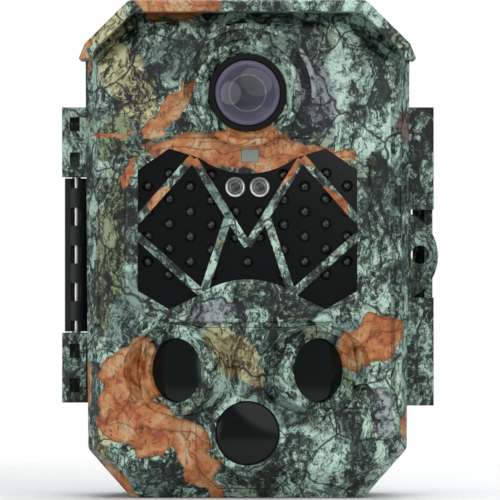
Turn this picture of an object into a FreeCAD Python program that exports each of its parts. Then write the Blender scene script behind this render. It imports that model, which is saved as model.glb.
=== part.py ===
"""Trail camera: a clamshell case with its optics, infrared flash, motion sensors and battery tray.

Millimetres, +Z up. The front looks along -Y, the hinge is at -X and the latch at +X.
The origin is the centre of the tripod socket in the flat bottom.
"""
import FreeCAD, Part
import math
import os
import re
import Sketcher
from FreeCAD import Rotation, Vector

doc = FreeCAD.newDocument("TrailCamera")
sheet = doc.addObject("Spreadsheet::Sheet", "Dims")

dimensions = {
    # case outline
    "body_top": 136.6, "top_half": 32.2, "shoulder_z": 123.8, "half_width": 45.2,
    "low_z": 13.5, "low_half": 44.4, "foot_half": 32.5,
    "crease_top": 131.5, "crease_top_half": 24.5, "crease_shoulder": 119.8, "crease_half": 41.2,
    "crease_low": 12.5, "crease_foot": 8.0, "crease_foot_half": 32.0,
    "seam_y": -14.0, "seam_gap": 0.3, "bevel_y": -38.0, "face_y": -46.0, "back_y": 9.0,
    "seal_edge": 0.7, "seal_width": 1.1, "seal_depth": 1.2,
    "wall": 2.5, "side_wall": 3.7, "cavity_foot": 30.0, "corner_round": 3.0, "edge_round": 2.0,
    "lip_round": 1.0, "corner_share": 0.41,
    # allowances: how far cutting tools run past a face, thin fits and easy fits
    "overrun": 1.0, "long_run": 12.0, "far_side": 60.0, "sliver": 0.02, "fit": 0.05, "ease": 0.1,
    # hood
    "hood_top": 138.0, "hood_half": 46.6, "hood_wall": 3.2, "hood_y": -58.0, "hood_back": -24.0,
    "hood_edge_z": 121.8, "hood_corner_z": 125.9, "hood_corner_half": 45.0, "hood_flat": 32.8,
    "hood_corner_in": 2.8, "hood_corner_drop": 1.4, "hood_flat_in": 1.3,
    # lens
    "lens_z": 112.6, "bezel_radius": 15.0, "bezel_y": -51.0, "cone_radius": 13.4,
    "retainer_radius": 10.7, "glass_radius": 9.0, "glass_dome": 3.0, "glass_y": -46.6,
    "arch_radius": 19.25, "arch_wall": 1.45, "arch_y": -50.0, "arch_drop": 1.5, "bezel_round": 1.1,
    "cone_floor": 0.9, "glass_thick": 1.6, "ring_lip": 0.4, "ring_front": 1.1, "ring_seat": 0.8,
    "barrel_inner": 5.6, "barrel_waist": 7.2, "barrel_bore": 4.2, "barrel_back": -28.0,
    "barrel_shoulder": -36.0, "barrel_step": -34.0, "barrel_seat": -38.0, "barrel_mouth": -40.0,
    "iris_hole": 3.0, "iris_radius": 5.5, "iris_front": -41.6, "iris_back": -40.6,
    "rear_lens_radius": 4.1, "rear_lens_rise": 1.0, "rear_lens_y": -36.5, "rear_lens_thick": 1.5,
    # the sliding filter, the image sensor and their board
    "guide_left": -10.0, "guide_right": 17.0, "guide_front": -27.9, "guide_back": -25.9,
    "guide_half": 6.0, "track_left": -9.3, "track_front": -27.3, "track_back": -26.4,
    "track_half": 4.9, "light_hole": 3.4, "filter_half": 4.6, "filter_front": -27.05,
    "filter_back": -26.65, "chip_half": 4.5, "chip_high": 4.0, "chip_front": -25.5,
    "chip_back": -24.6, "camera_board_half": 13.0, "camera_board_high": 10.0,
    "camera_board_front": -24.5, "camera_board_back": -23.2,
    # flash window and its guard
    "window_half": 30.5, "window_low": 57.5, "window_high": 91.1, "window_peak": 97.1,
    "window_dip": 52.4, "window_peak_half": 21.8, "window_neck": 13.4, "neck_high": 94.5,
    "neck_low": 56.3, "upper_arc": 22.5, "lower_arc": 23.8, "lower_arc_z": 36.9,
    "border": 3.7, "border_rise": 1.3, "rib_width": 2.2, "rib_depth": 1.7,
    "panel_y": -43.3, "panel_thick": 1.5, "panel_lap": 0.8, "grow_side": 0.4, "grow_peak": 0.3,
    "border_drop": 3.0, "border_peak_half": 23.0, "border_lift": 1.2, "border_trim": 0.6,
    "window_over": 4.0, "guard_over": 5.0, "guard_lap": 1.5, "rib_rise": 0.6,
    "rib_side_x": 30.8, "rib_side_upper": 77.0, "rib_side_lower": 73.0, "rib_peak_x": 15.2,
    "rib_peak_z": 94.6, "rib_dip_x": 12.6, "rib_dip_z": 56.8, "rib_inner_x": 14.9,
    "rib_inner_z": 94.0, "rib_middle_z": 70.0, "rib_short_x": 5.5, "rib_short_z": 77.5,
    "rib_foot_x": 12.2, "rib_foot_z": 57.2,
    # light-emitting diodes
    "led_radius": 1.5, "led_pitch": 5.9, "led_row": 7.0, "led_tip": -44.6, "clear_radius": 2.7,
    "clear_half": 3.4, "clear_z": 86.4, "led_body": 3.1, "led_start": 1.7, "led_inner": 0.57,
    "led_upper": 79.6, "led_lower": 72.5, "led_foot": 65.6, "clear_sunk": 0.6, "led_back": -39.6,
    "led_board_half": 31.0, "led_board_low": 51.0, "led_board_high": 99.0,
    "led_board_front": -39.5, "led_board_back": -38.0,
    "light_left": -1.7, "light_right": 3.1, "light_low": 93.3, "light_high": 96.9, "light_stand": 1.0,
    # motion sensors
    "plate_half": 14.2, "plate_low": 2.5, "plate_high": 47.3, "plate_gap": 0.15,
    "plate_foot_half": 8.0, "plate_chamfer": 6.0, "plate_reach": 20.0, "cup_wall": 1.4,
    "cup_depth": 6.0, "cup_side": 4.0, "cup_half": 20.0,
    "pod_radius": 12.65, "pod_x": 19.3, "pod_z": 35.5, "pod_y": -47.0, "pod_angle": 36.5,
    "pod_front": 2.2, "pod_length": 11.0, "centre_pod_radius": 10.8, "centre_pod_z": 18.05,
    "pod_over": 3.0, "pod_round": 0.8, "centre_pod_rise": 3.4, "step_wall": 1.9, "step_depth": 1.0,
    "plate_back_half": 40.0, "plate_back_low": -3.0, "plate_back_high": 60.0, "plate_back": 0.5,
    "eye_radius": 8.95, "eye_thick": 1.6, "eye_crown": 0.6, "eye_curve": 0.45, "eye_sunk": 1.2,
    "can_front": 5.6, "can_cap": 3.9, "can_edge": 5.8, "can_radius": 4.1, "can_base": 9.4,
    "can_rim": 4.6, "can_back": 9.9, "sensor_board_half": 26.0, "sensor_board_low": 9.0,
    "sensor_board_high": 48.0, "sensor_board_front": -34.5, "sensor_board_back": -33.0,
    # hinge
    "hinge_x": -48.3, "pin_radius": 1.25, "knuckle_radius": 3.3, "barrel_low": 45.9,
    "barrel_high": 89.1, "hinge_low": 26.0, "hinge_high": 109.0, "knuckle_gap": 0.3,
    "block_left": -52.1, "block_right": -41.8, "block_y": -25.0, "knuckle_round": 1.2,
    "knuckle_relief": 0.4, "rear_relief": 0.7, "relief_end": 0.5,
    "slot_left": 1.6, "slot_right": 1.2, "slot_floor": 1.5, "slot_half": 2.0, "slot_top": 104.2,
    "slot_upper": 94.3, "slot_lower": 40.6, "slot_foot": 30.9, "pocket_near": 2.9,
    "pocket_far": 5.4, "pocket_depth": 2.0, "pocket_length": 14.0, "pocket_low": 2.5,
    "pocket_high": 2.8, "arm_left": 2.6, "arm_depth": 9.0, "barrel_window_left": 1.6,
    "barrel_window_right": 1.3, "barrel_window_front": 5.0, "barrel_window_back": 0.9,
    "barrel_window_half": 2.55, "barrel_window_foot": 46.4, "barrel_window_pitch": 10.625,
    "pin_end": 0.4,
    # latch
    "latch_x": 49.3, "latch_y": -4.0, "latch_low": 25.4, "latch_high": 108.8, "lever_left": 44.0,
    "lever_right": 52.1, "lever_y": -33.0, "lever_wall": 2.4, "latch_pin_radius": 1.0,
    "lug_radius": 2.6, "lug_height": 6.5, "latch_side": 43.6, "notch_low": 55.6,
    "notch_high": 80.2, "notch_x": 45.7, "loop_radius": 12.9, "loop_x": 40.5, "loop_z": 67.2,
    "loop_front": -29.6, "loop_thick": 3.0, "padlock_radius": 2.6, "padlock_x": 48.4,
    "padlock_z": 67.6, "lug_inset": 1.5, "lug_sunk": 1.4, "lever_ease": 0.6, "lever_thin": 0.2,
    "lever_run": 4.4, "web_front": 5.0, "notch_depth": 14.0, "lever_gap": 0.4,
    "lever_end_gap": 0.5, "latch_pin_end": 1.6, "groove_left": 39.8, "strip_left": 41.0,
    "strip_right": 42.9, "strip_y": -45.2, "strip_end": 1.6, "strip_root": 2.0,
    "groove_depth": 1.6, "strip_round": 0.8, "arm_gap": 0.4, "arm_thick": 2.8,
    "arm_back": 4.0, "arm_foot": 56.4, "arm_foot_top": 63.6, "arm_head": 71.6,
    "arm_head_top": 78.6, "loop_low": 40.0, "loop_high": 100.0,
    # power pack
    "tray_half": 34.0, "tray_low": 11.5, "tray_high": 127.0, "tray_y": -5.0, "cell_radius": 7.1,
    "cell_pitch": 16.0, "cell_length": 49.2, "cell_y": -1.5, "cell_low": 15.2, "row_pitch": 56.5,
    "nub_radius": 2.75, "nub_length": 1.2, "trough_gap": 0.3, "trough_end": 2.4,
    "spring_wide": 4.6, "spring_narrow": 3.0, "spring_length": 2.3, "contact_half": 4.5,
    "contact_thick": 0.6, "contact_low": 2.3, "contact_high": 1.3,
    # straps, tripod and inlet
    "strap_x": 24.0, "strap_width": 16.0, "strap_low": 52.0, "strap_high": 86.0,
    "strap_slot": 4.4, "strap_bar": 2.6, "insert_radius": 4.0, "insert_hole": 2.55,
    "strap_sunk": 0.5, "strap_round": 1.5, "strap_over": 2.0, "strap_bridge": 3.0,
    "insert_length": 9.0, "boss_radius": 6.5, "boss_floor": 0.5, "boss_roof": 1.6,
    "inlet_x": 24.0, "inlet_y": -3.0, "inlet_radius": 2.75, "plug_radius": 5.6,
    "plug_thick": 1.3, "inlet_half": 5.0, "neck_wall": 1.2, "inlet_roof": 1.5,
    "contact_radius": 0.8, "plug_lift": 0.3, "plug_depth": 3.5, "core_radius": 1.1,
    # inside the front housing
    "cover_y": -15.2, "cover_thick": 1.5, "board_y": -20.8, "board_thick": 1.6,
    "screen_half": 30.0, "screen_low": 86.0, "screen_high": 125.0, "key_radius": 3.6,
    "key_z": 62.0, "key_pitch": 11.0, "card_x": 38.0, "card_z": 46.0,
    "card_width": 11.0, "switch_z": 34.0,
    "screw_x": 37.5, "screw_radius": 1.2, "screw_low": 18.0, "screw_middle": 80.0,
    "screw_high": 118.0, "boss_wall": 1.8, "boss_root": 2.0, "screw_depth": 9.0,
    "tie_half": 0.8, "tie_reach": 6.0, "screw_top": 1.3, "screw_dome": 1.7, "head_rise": 1.1,
    "head_radius": 2.2, "screw_length": 8.0, "screw_hole": 0.2,
    "cover_foot_in": 0.6, "cover_foot_up": 0.4, "cover_low_in": 1.2, "cover_low_up": 2.0,
    "cover_top_in": 3.4, "screen_lap": 3.0, "screen_lip": 2.0, "screen_thick": 3.0,
    "switch_half": 7.0, "switch_slot": 2.2, "card_slot": 0.8, "card_gap": 0.4, "port_half": 1.9,
    "port_low": 62.0, "port_high": 70.4, "key_gap": 0.3, "key_edge": 0.5, "key_rise": 1.0,
    "key_skirt": 0.8, "key_skirt_low": 1.2, "key_stem": 1.5, "key_clear": 1.1,
    "knob_foot_half": 3.8, "knob_foot_low": 1.5, "knob_foot_high": 3.4, "knob_half": 2.6,
    "knob_high": 1.8, "socket_left": 1.8, "socket_right": 1.6, "socket_depth": 14.5,
    "socket_rim": 0.2, "socket_over": 1.4, "throat_depth": 14.0, "card_half": 0.5,
    "card_depth": 13.3, "card_proud": 1.7, "port_shell": 1.7, "port_depth": 6.0,
    "port_wall": 0.4, "port_end": 0.2, "tongue_half": 0.3, "tongue_end": 1.5,
    "main_board_half": 34.0, "main_board_low": 12.0, "main_board_high": 82.0,
    "sound_left": -32.0, "sound_right": -18.0, "sound_low": 16.0, "sound_pitch": 2.6,
    "sound_slot": 1.2, "speaker_x": -25.0, "speaker_z": 22.0, "speaker_radius": 7.0,
    "speaker_depth": 3.8, "speaker_lip": 6.0, "speaker_cone": 5.0, "cone_edge": 0.9,
    "cone_middle": 1.4, "microphone_x": 25.0, "microphone_z": 19.0, "microphone_radius": 2.0,
    "microphone_depth": 3.0,
}
for row, (alias, number) in enumerate(dimensions.items(), start=1):
    sheet.set(f"A{row}", alias)
    sheet.set(f"B{row}", str(number))
    sheet.setAlias(f"B{row}", alias)
doc.recompute()

pieces = []
both_sides = ((-1, "left"), (1, "right"))
sound_slots = 5
barrel_windows = 5
cell_rows = 2
cell_columns = 4
# height of the top diode and number of diodes in each column, from the middle outwards
led_columns = ((89.9, 5), (86.6, 4), (90.2, 5), (86.7, 4))
turn_to_y = Rotation(Vector(1, 0, 0), -90)
turn_to_x = Rotation(Vector(0, 1, 0), 90)
front_view = Rotation(Vector(1, 0, 0), 90)
# where a sketch's corners start, before their formulas move them
drawing_radius = 50
profile_middle = 5
profile_radius = 2
tolerance = 1e-4


# ---------- building blocks bound to the sheet ----------

def bound(text):
    """Turn a formula in the sheet's aliases into a FreeCAD expression."""
    def qualify(match):
        word = match.group(0)
        return f"{sheet.Name}.{word}" if word in dimensions else word
    return re.sub(r"[A-Za-z_][A-Za-z_0-9]*", qualify, str(text))


def place(thing, x, y, z, rotation=Rotation()):
    thing.Placement = FreeCAD.Placement(Vector(), rotation)
    for axis, text in zip("xyz", (x, y, z)):
        thing.setExpression(f".Placement.Base.{axis}", bound(text))
    return thing


def worked_out(text):
    """The value of one alias, or of a plain number."""
    return getattr(sheet, text) if text in dimensions else float(text)


def size(thing, **formulas):
    for name, text in formulas.items():
        thing.setExpression(name, bound(text))
    return thing


def box(name, x, y, z):
    """A box between two formulas along each axis."""
    block = doc.addObject("Part::Box", name)
    size(block, Length=f"({x[1]})-({x[0]})", Width=f"({y[1]})-({y[0]})", Height=f"({z[1]})-({z[0]})")
    return place(block, x[0], y[0], z[0])


def rod(name, axis, radius, start, end, first, second, end_radius=None):
    """A cylinder, or a cone, along an axis; first and second place it across the other two axes."""
    rod_type = "Part::Cylinder" if end_radius is None else "Part::Cone"
    body = doc.addObject(rod_type, name)
    size(body, Height=f"({end})-({start})")
    if end_radius is None:
        size(body, Radius=radius)
    else:
        size(body, Radius1=radius, Radius2=end_radius)
    if axis == "x":
        return place(body, start, first, second, turn_to_x)
    if axis == "y":
        return place(body, first, start, second, turn_to_y)
    return place(body, first, second, start)


def draw_closed(sketch, corners, middle, radius):
    """Draw one closed run of lines and bind each corner to its two formulas."""
    count = len(corners)
    turns = [2 * math.pi * step / count for step in range(count)]
    start = [middle + radius * Vector(math.cos(turn), math.sin(turn), 0) for turn in turns]
    for i in range(count):
        sketch.addGeometry(Part.LineSegment(start[i], start[(i + 1) % count]), False)
    for i in range(count):
        sketch.addConstraint(Sketcher.Constraint("Coincident", i, 2, (i + 1) % count, 1))
    for i, corner in enumerate(corners):
        for direction, text in zip(("DistanceX", "DistanceY"), corner):
            index = sketch.addConstraint(Sketcher.Constraint(direction, -1, 1, i, 1, 1.0))
            sketch.setExpression(f"Constraints[{index}]", bound(text))


def outline(name, corners, y):
    """A closed outline seen from the front, each corner bound to formulas for X and Z."""
    sketch = doc.addObject("Sketcher::SketchObject", name)
    place(sketch, 0, y, 0, front_view)
    draw_closed(sketch, corners, Vector(), drawing_radius)
    return sketch


def prism(name, corners, back, front):
    """An outline carried from its back plane to its front plane."""
    solid = doc.addObject("Part::Extrusion", name)
    solid.Base = outline(name + "_outline", corners, back)
    solid.DirMode = "Normal"
    solid.Solid = True
    return size(solid, LengthFwd=f"({back})-({front})")


def taper(name, back_corners, back, front_corners, front):
    """A ruled solid between two outlines with the same number of corners."""
    solid = doc.addObject("Part::Loft", name)
    solid.Sections = [outline(name + "_back", back_corners, back),
                      outline(name + "_front", front_corners, front)]
    solid.Solid = True
    solid.Ruled = True
    return solid


def fuse(name, *things):
    joined = doc.addObject("Part::MultiFuse", name)
    joined.Shapes = list(things)
    joined.Refine = True
    return joined


def cut(name, base, *tools):
    tool = tools[0] if len(tools) == 1 else fuse(name + "_tools", *tools)
    result = doc.addObject("Part::Cut", name)
    result.Base = base
    result.Tool = tool
    return result


def common(name, first, second):
    shared = doc.addObject("Part::Common", name)
    shared.Base = first
    shared.Tool = second
    return shared


def rounded(name, base, radius, chosen):
    """Round the edges that the given test picks out."""
    doc.recompute()
    smooth = doc.addObject("Part::Fillet", name)
    smooth.Base = base
    smooth.Edges = [(i, radius, radius) for i, edge in enumerate(base.Shape.Edges, 1) if chosen(edge)]
    return smooth


def along(edge, axis):
    """True for a straight edge parallel to an axis."""
    if len(edge.Vertexes) != 2:
        return False
    run = edge.Vertexes[1].Point - edge.Vertexes[0].Point
    return run.Length > 0 and abs(abs(run.dot(axis)) - run.Length) < tolerance


def in_plane(edge, y):
    """True for an edge that lies in the plane across Y at y."""
    return abs(edge.BoundBox.YMin - y) < tolerance and abs(edge.BoundBox.YMax - y) < tolerance


def group(name, things):
    """Several identical solids in one piece."""
    bunch = doc.addObject("Part::Compound", name)
    bunch.Links = list(things)
    return bunch


def piece(label, thing):
    thing.Label = label
    pieces.append(thing)
    return thing


def turned(name, profile, x, z, y=0, angle=0):
    """A PartDesign body turned about an axis along Y, from corners given as (radius, y)."""
    body = doc.addObject("PartDesign::Body", name)
    plane = next(item for item in body.Origin.OriginFeatures if item.Role == "XY_Plane")
    sketch = body.newObject("Sketcher::SketchObject", name + "_profile")
    sketch.AttachmentSupport = [(plane, "")]
    sketch.MapMode = "FlatFace"
    draw_closed(sketch, profile, Vector(profile_middle, 0, 0), profile_radius)
    spin = body.newObject("PartDesign::Revolution", name + "_turn")
    spin.Profile = sketch
    spin.ReferenceAxis = (sketch, ["V_Axis"])
    spin.Angle = 360
    place(body, x, y, z, Rotation(Vector(0, 0, 1), angle))
    return body


def domed(name, radius, rise, rim_y, depth, x, z):
    """A round glass with a spherical front: the rim is at rim_y and the back depth behind it."""
    ball = doc.addObject("Part::Sphere", name + "_ball")
    curve = f"(({radius})^2+({rise})^2)/(2*({rise}))"
    size(ball, Radius=curve)
    place(ball, x, f"({rim_y})-({rise})+{curve}", z)
    column = rod(name + "_column", "y", radius, f"({rim_y})-({rise})-1", f"({rim_y})+({depth})", x, z)
    return common(name, column, ball)


# ---------- case outlines ----------

case_corners = [("-foot_half", "0"), ("foot_half", "0"), ("low_half", "low_z"),
                ("half_width", "shoulder_z"), ("top_half", "body_top"), ("-top_half", "body_top"),
                ("-half_width", "shoulder_z"), ("-low_half", "low_z")]
face_corners = [("-crease_foot_half", "crease_foot"), ("crease_foot_half", "crease_foot"),
                ("crease_half", "crease_low"), ("crease_half", "crease_shoulder"),
                ("crease_top_half", "crease_top"), ("-crease_top_half", "crease_top"),
                ("-crease_half", "crease_shoulder"), ("-crease_half", "crease_low")]


def inset(corners, side, flat):
    """The outline moved inwards: by side at the sides, by flat at the top and bottom."""
    moved = []
    for x, z in corners:
        sign = "-" if x.startswith("-") else ""
        half = x.lstrip("-")
        is_flat = z in ("0", "body_top", "crease_foot", "crease_top")
        is_low = z in ("0", "low_z", "crease_foot", "crease_low")
        across = f"corner_share*({flat})" if is_flat else side
        lift = flat if is_flat else f"corner_share*({side})"
        moved.append((f"{sign}({half}-({across}))", f"({z}){'+' if is_low else '-'}({lift})"))
    return moved


# ---------- front housing ----------

def front_blank():
    block = prism("front_block", case_corners, "seam_y-seam_gap", "bevel_y")
    nose = taper("front_nose", case_corners, "bevel_y", face_corners, "face_y")
    silhouette = rounded("front_silhouette",
                         prism("front_outer", case_corners, "seam_y-seam_gap", "face_y-overrun"),
                         sheet.corner_round, lambda edge: along(edge, Vector(0, 1, 0)))
    whole = common("front_blank", fuse("front_sharp", block, nose), silhouette)
    return rounded("front_creases", whole, sheet.edge_round, lambda edge: in_plane(edge, sheet.face_y))


def front_cavity():
    room = prism("front_room", inset(case_corners, "side_wall", "wall"), "seam_y", "bevel_y")
    nose = taper("front_room_nose", inset(case_corners, "side_wall", "wall"), "bevel_y",
                 inset(face_corners, "wall", "wall"), "face_y+wall")
    return fuse("front_cavity", room, nose)


def hood():
    outer = prism("hood_outer", [
        ("-hood_half", "hood_edge_z"), ("hood_half", "hood_edge_z"),
        ("hood_corner_half", "hood_corner_z"), ("hood_flat", "hood_top"),
        ("-hood_flat", "hood_top"), ("-hood_corner_half", "hood_corner_z")], "hood_back", "hood_y")
    soft = rounded("hood_soft", outer, sheet.corner_round,
                   lambda e: along(e, Vector(0, 1, 0))
                   and e.Vertexes[0].Point.z > sheet.hood_edge_z + tolerance)
    lip = rounded("hood_lip", soft, sheet.lip_round,
                  lambda e: in_plane(e, sheet.hood_y) and e.BoundBox.ZMax > sheet.hood_edge_z + tolerance)
    inner = prism("hood_inner", [
        ("-(hood_half-hood_wall)", "hood_edge_z-overrun"), ("hood_half-hood_wall", "hood_edge_z-overrun"),
        ("hood_corner_half-hood_corner_in", "hood_corner_z-hood_corner_drop"),
        ("hood_flat-hood_flat_in", "hood_top-hood_wall"),
        ("-(hood_flat-hood_flat_in)", "hood_top-hood_wall"),
        ("-(hood_corner_half-hood_corner_in)", "hood_corner_z-hood_corner_drop")],
        "hood_back+overrun", "hood_y-overrun")
    return cut("hood", lip, inner)


def lens_mount():
    """The round bezel with its cone, and the eyebrow arch above it."""
    bezel = rod("bezel_block", "y", "bezel_radius", "bezel_y", "face_y+overrun", "0", "lens_z")
    soft = rounded("bezel_soft", bezel, sheet.bezel_round, lambda e: in_plane(e, sheet.bezel_y))
    cone = rod("bezel_cone", "y", "cone_radius", "bezel_y-sliver", "face_y-cone_floor", "0", "lens_z",
               end_radius="retainer_radius+ease")
    ring = rod("arch_outer", "y", "arch_radius", "arch_y", "face_y+overrun", "0", "lens_z")
    hollow = rod("arch_inner", "y", "arch_radius-arch_wall", "arch_y-overrun", "face_y+2*overrun",
                 "0", "lens_z")
    upper = box("arch_half", ("-arch_radius-overrun", "arch_radius+overrun"),
                ("arch_y-overrun", "face_y+2*overrun"), ("lens_z-arch_drop", "lens_z+arch_radius+overrun"))
    arch = common("arch", cut("arch_ring", ring, hollow), upper)
    return [cut("bezel", soft, cone), arch]


def window_opening(name, grow, back, front):
    """The butterfly-shaped flash window; grow widens it all round."""
    corners = [(f"-(window_half+{grow})", f"window_low-{grow}*grow_side"),
               (f"-(window_peak_half+{grow}*grow_peak)", f"window_dip-{grow}"),
               ("-window_neck", f"neck_low-{grow}"),
               ("window_neck", f"neck_low-{grow}"),
               (f"window_peak_half+{grow}*grow_peak", f"window_dip-{grow}"),
               (f"window_half+{grow}", f"window_low-{grow}*grow_side"),
               (f"window_half+{grow}", f"window_high+{grow}*grow_side"),
               (f"window_peak_half+{grow}*grow_peak", f"window_peak+{grow}"),
               ("window_neck", f"neck_high+{grow}"),
               ("-window_neck", f"neck_high+{grow}"),
               (f"-(window_peak_half+{grow}*grow_peak)", f"window_peak+{grow}"),
               (f"-(window_half+{grow})", f"window_high+{grow}*grow_side")]
    shape = prism(name + "_shape", corners, back, front)
    above = rod(name + "_above", "y", f"upper_arc-{grow}", f"({front})-overrun", f"({back})+overrun",
                "0", "lens_z")
    below = rod(name + "_below", "y", f"lower_arc-{grow}", f"({front})-overrun", f"({back})+overrun",
                "0", "lower_arc_z")
    return cut(name, shape, above, below)


def window_border():
    side = "window_half+border"
    top = "window_peak+border-border_trim"
    corners = [(f"-({side})", "window_low-border_drop"), ("-border_peak_half", "window_dip-border"),
               ("border_peak_half", "window_dip-border"), (side, "window_low-border_drop"),
               (side, "window_high+border_lift"), ("border_peak_half", top),
               ("-border_peak_half", top), (f"-({side})", "window_high+border_lift")]
    plate = prism("border_plate", corners, "face_y+overrun", "face_y-border_rise")
    return rounded("border", plate, sheet.lip_round,
                   lambda e: in_plane(e, sheet.face_y - sheet.border_rise))


def guard_ribs():
    """Flat ribs across the flash window; every run is mirrored to the other side."""
    runs = [(("rib_side_x", "rib_side_upper"), ("rib_peak_x", "rib_peak_z")),
            (("rib_side_x", "rib_side_lower"), ("rib_dip_x", "rib_dip_z")),
            (("rib_inner_x", "rib_inner_z"), ("0", "rib_middle_z")),
            (("rib_short_x", "rib_short_z"), ("rib_foot_x", "rib_foot_z"))]
    ribs = []
    for side, word in ((-1, "left"), (1, "right")):
        for number, ((x_start, z_start), (x_end, z_end)) in enumerate(runs):
            bar = doc.addObject("Part::Box", f"rib_{number}_{word}")
            length = f"sqrt(({x_end}-{x_start})^2+({z_end}-{z_start})^2)"
            size(bar, Length=length, Width="rib_depth", Height="rib_width")
            across = side * (worked_out(x_end) - worked_out(x_start))
            lean = math.degrees(math.atan2(worked_out(z_start) - worked_out(z_end), across))
            turn = Rotation(Vector(0, 1, 0), lean)
            # a bar is placed by its corner, half its width below the line of its run
            lowered = turn.multVec(Vector(0, 0, sheet.rib_width / 2))
            place(bar, f"{side}*{x_start}-({lowered.x})", "face_y-rib_rise", f"{z_start}-({lowered.z})",
                  turn)
            ribs.append(bar)
    return ribs


def pod_direction(side):
    """The way a side pod looks: outwards from straight ahead."""
    return side * sheet.pod_angle


def pod_rod(name, side, radius, ahead, behind):
    """A cylinder on a side pod's axis, from ahead of the window plane to behind it."""
    body = doc.addObject("Part::Cylinder", name)
    size(body, Radius=radius, Height=f"({ahead})+({behind})")
    turn = Rotation(Vector(0, 0, 1), pod_direction(side)).multiply(turn_to_y)
    reach = f"({ahead})"
    place(body, f"{side}*(pod_x+{reach}*sin(pod_angle))", f"pod_y-{reach}*cos(pod_angle)", "pod_z", turn)
    return body


def knuckle_blocks():
    """The two moulded blocks that carry the front housing on the hinge pin."""
    blocks = []
    for name, low, high in (("low", "hinge_low", "barrel_low-knuckle_gap"),
                            ("high", "barrel_high+knuckle_gap", "hinge_high")):
        block = box(f"knuckle_block_{name}", ("block_left", "block_right"),
                    ("block_y", "seam_y-seam_gap"), (low, high))
        soft = rounded(f"knuckle_soft_{name}", block, sheet.knuckle_round,
                       lambda e: abs(e.BoundBox.YMax - sheet.block_y) < tolerance)
        round_part = rod(f"knuckle_round_{name}", "z", "knuckle_radius", low, high, "hinge_x", "seam_y")
        blocks += [soft, round_part]
    return blocks


def knuckle_slots():
    """Slots through the blocks that show the pin, and a pocket beside each pair."""
    slots = [box(f"knuckle_{height}", ("hinge_x-slot_left", "hinge_x+slot_right"),
                 ("block_y-overrun", "seam_y-slot_floor"), (f"{height}-slot_half", f"{height}+slot_half"))
             for height in ("slot_top", "slot_upper", "slot_lower", "slot_foot")]
    for name, low in (("low", "hinge_low+pocket_low"), ("high", "barrel_high+pocket_high")):
        slots.append(box(f"knuckle_pocket_{name}", ("hinge_x+pocket_near", "hinge_x+pocket_far"),
                         ("block_y-overrun", "block_y+pocket_depth"), (low, f"{low}+pocket_length")))
    return slots


def plate_window(name, gap):
    """The area of the sensor plate, running through the wall and round the pods."""
    foot = f"plate_foot_half+{gap}"
    side = f"plate_half+{gap}"
    low = f"plate_low-{gap}"
    high = f"plate_high+{gap}"
    corner = "plate_low+plate_chamfer"
    corners = [(f"-({foot})", low), (foot, low), (side, corner), (side, high), (f"-({side})", high),
               (f"-({side})", corner)]
    middle = prism(name + "_middle", corners, "bevel_y+overrun", "face_y-plate_reach")
    pods = [pod_rod(f"{name}_pod_{word}", side, f"pod_radius+{gap}", "pod_front+overrun",
                    "pod_length+pod_over")
            for side, word in both_sides]
    return fuse(name, middle, *pods)


def pod_cups(block):
    """Collars inside the wall that close the recess round the outer side of each side pod."""
    cups = []
    for side, word in both_sides:
        collar = pod_rod(f"cup_collar_{word}", side, "pod_radius+plate_gap+cup_wall", "long_run",
                         "cup_depth")
        near, far = "pod_x+cup_side", "crease_half"
        across = (near, far) if side > 0 else (f"-({far})", f"-({near})")
        reach = box(f"cup_reach_{word}", across, ("face_y-overrun", "bevel_y"),
                    ("pod_z-cup_half", "pod_z+cup_half"))
        cups.append(common(f"pod_cup_{word}", block, common(f"cup_part_{word}", collar, reach)))
    return cups


def screw_bosses():
    """Posts for the cover's screws, each tied to the front wall, and the holes in them."""
    posts = []
    holes = []
    for number, (side, height) in enumerate(screw_places()):
        x = f"{side}*screw_x"
        posts.append(rod(f"boss_{number}", "y", "screw_radius+boss_wall", "bevel_y+boss_root",
                         "cover_y-cover_thick-ease", x, height))
        posts.append(box(f"boss_tie_{number}", (f"{x}-tie_half", f"{x}+tie_half"),
                         ("bevel_y-tie_reach", "bevel_y+tie_reach"),
                         (f"{height}-tie_half", f"{height}+tie_half")))
        holes.append(rod(f"boss_hole_{number}", "y", "screw_radius+sliver",
                         "cover_y-cover_thick-screw_depth",
                         "cover_y", x, height))
    return posts, holes


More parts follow.
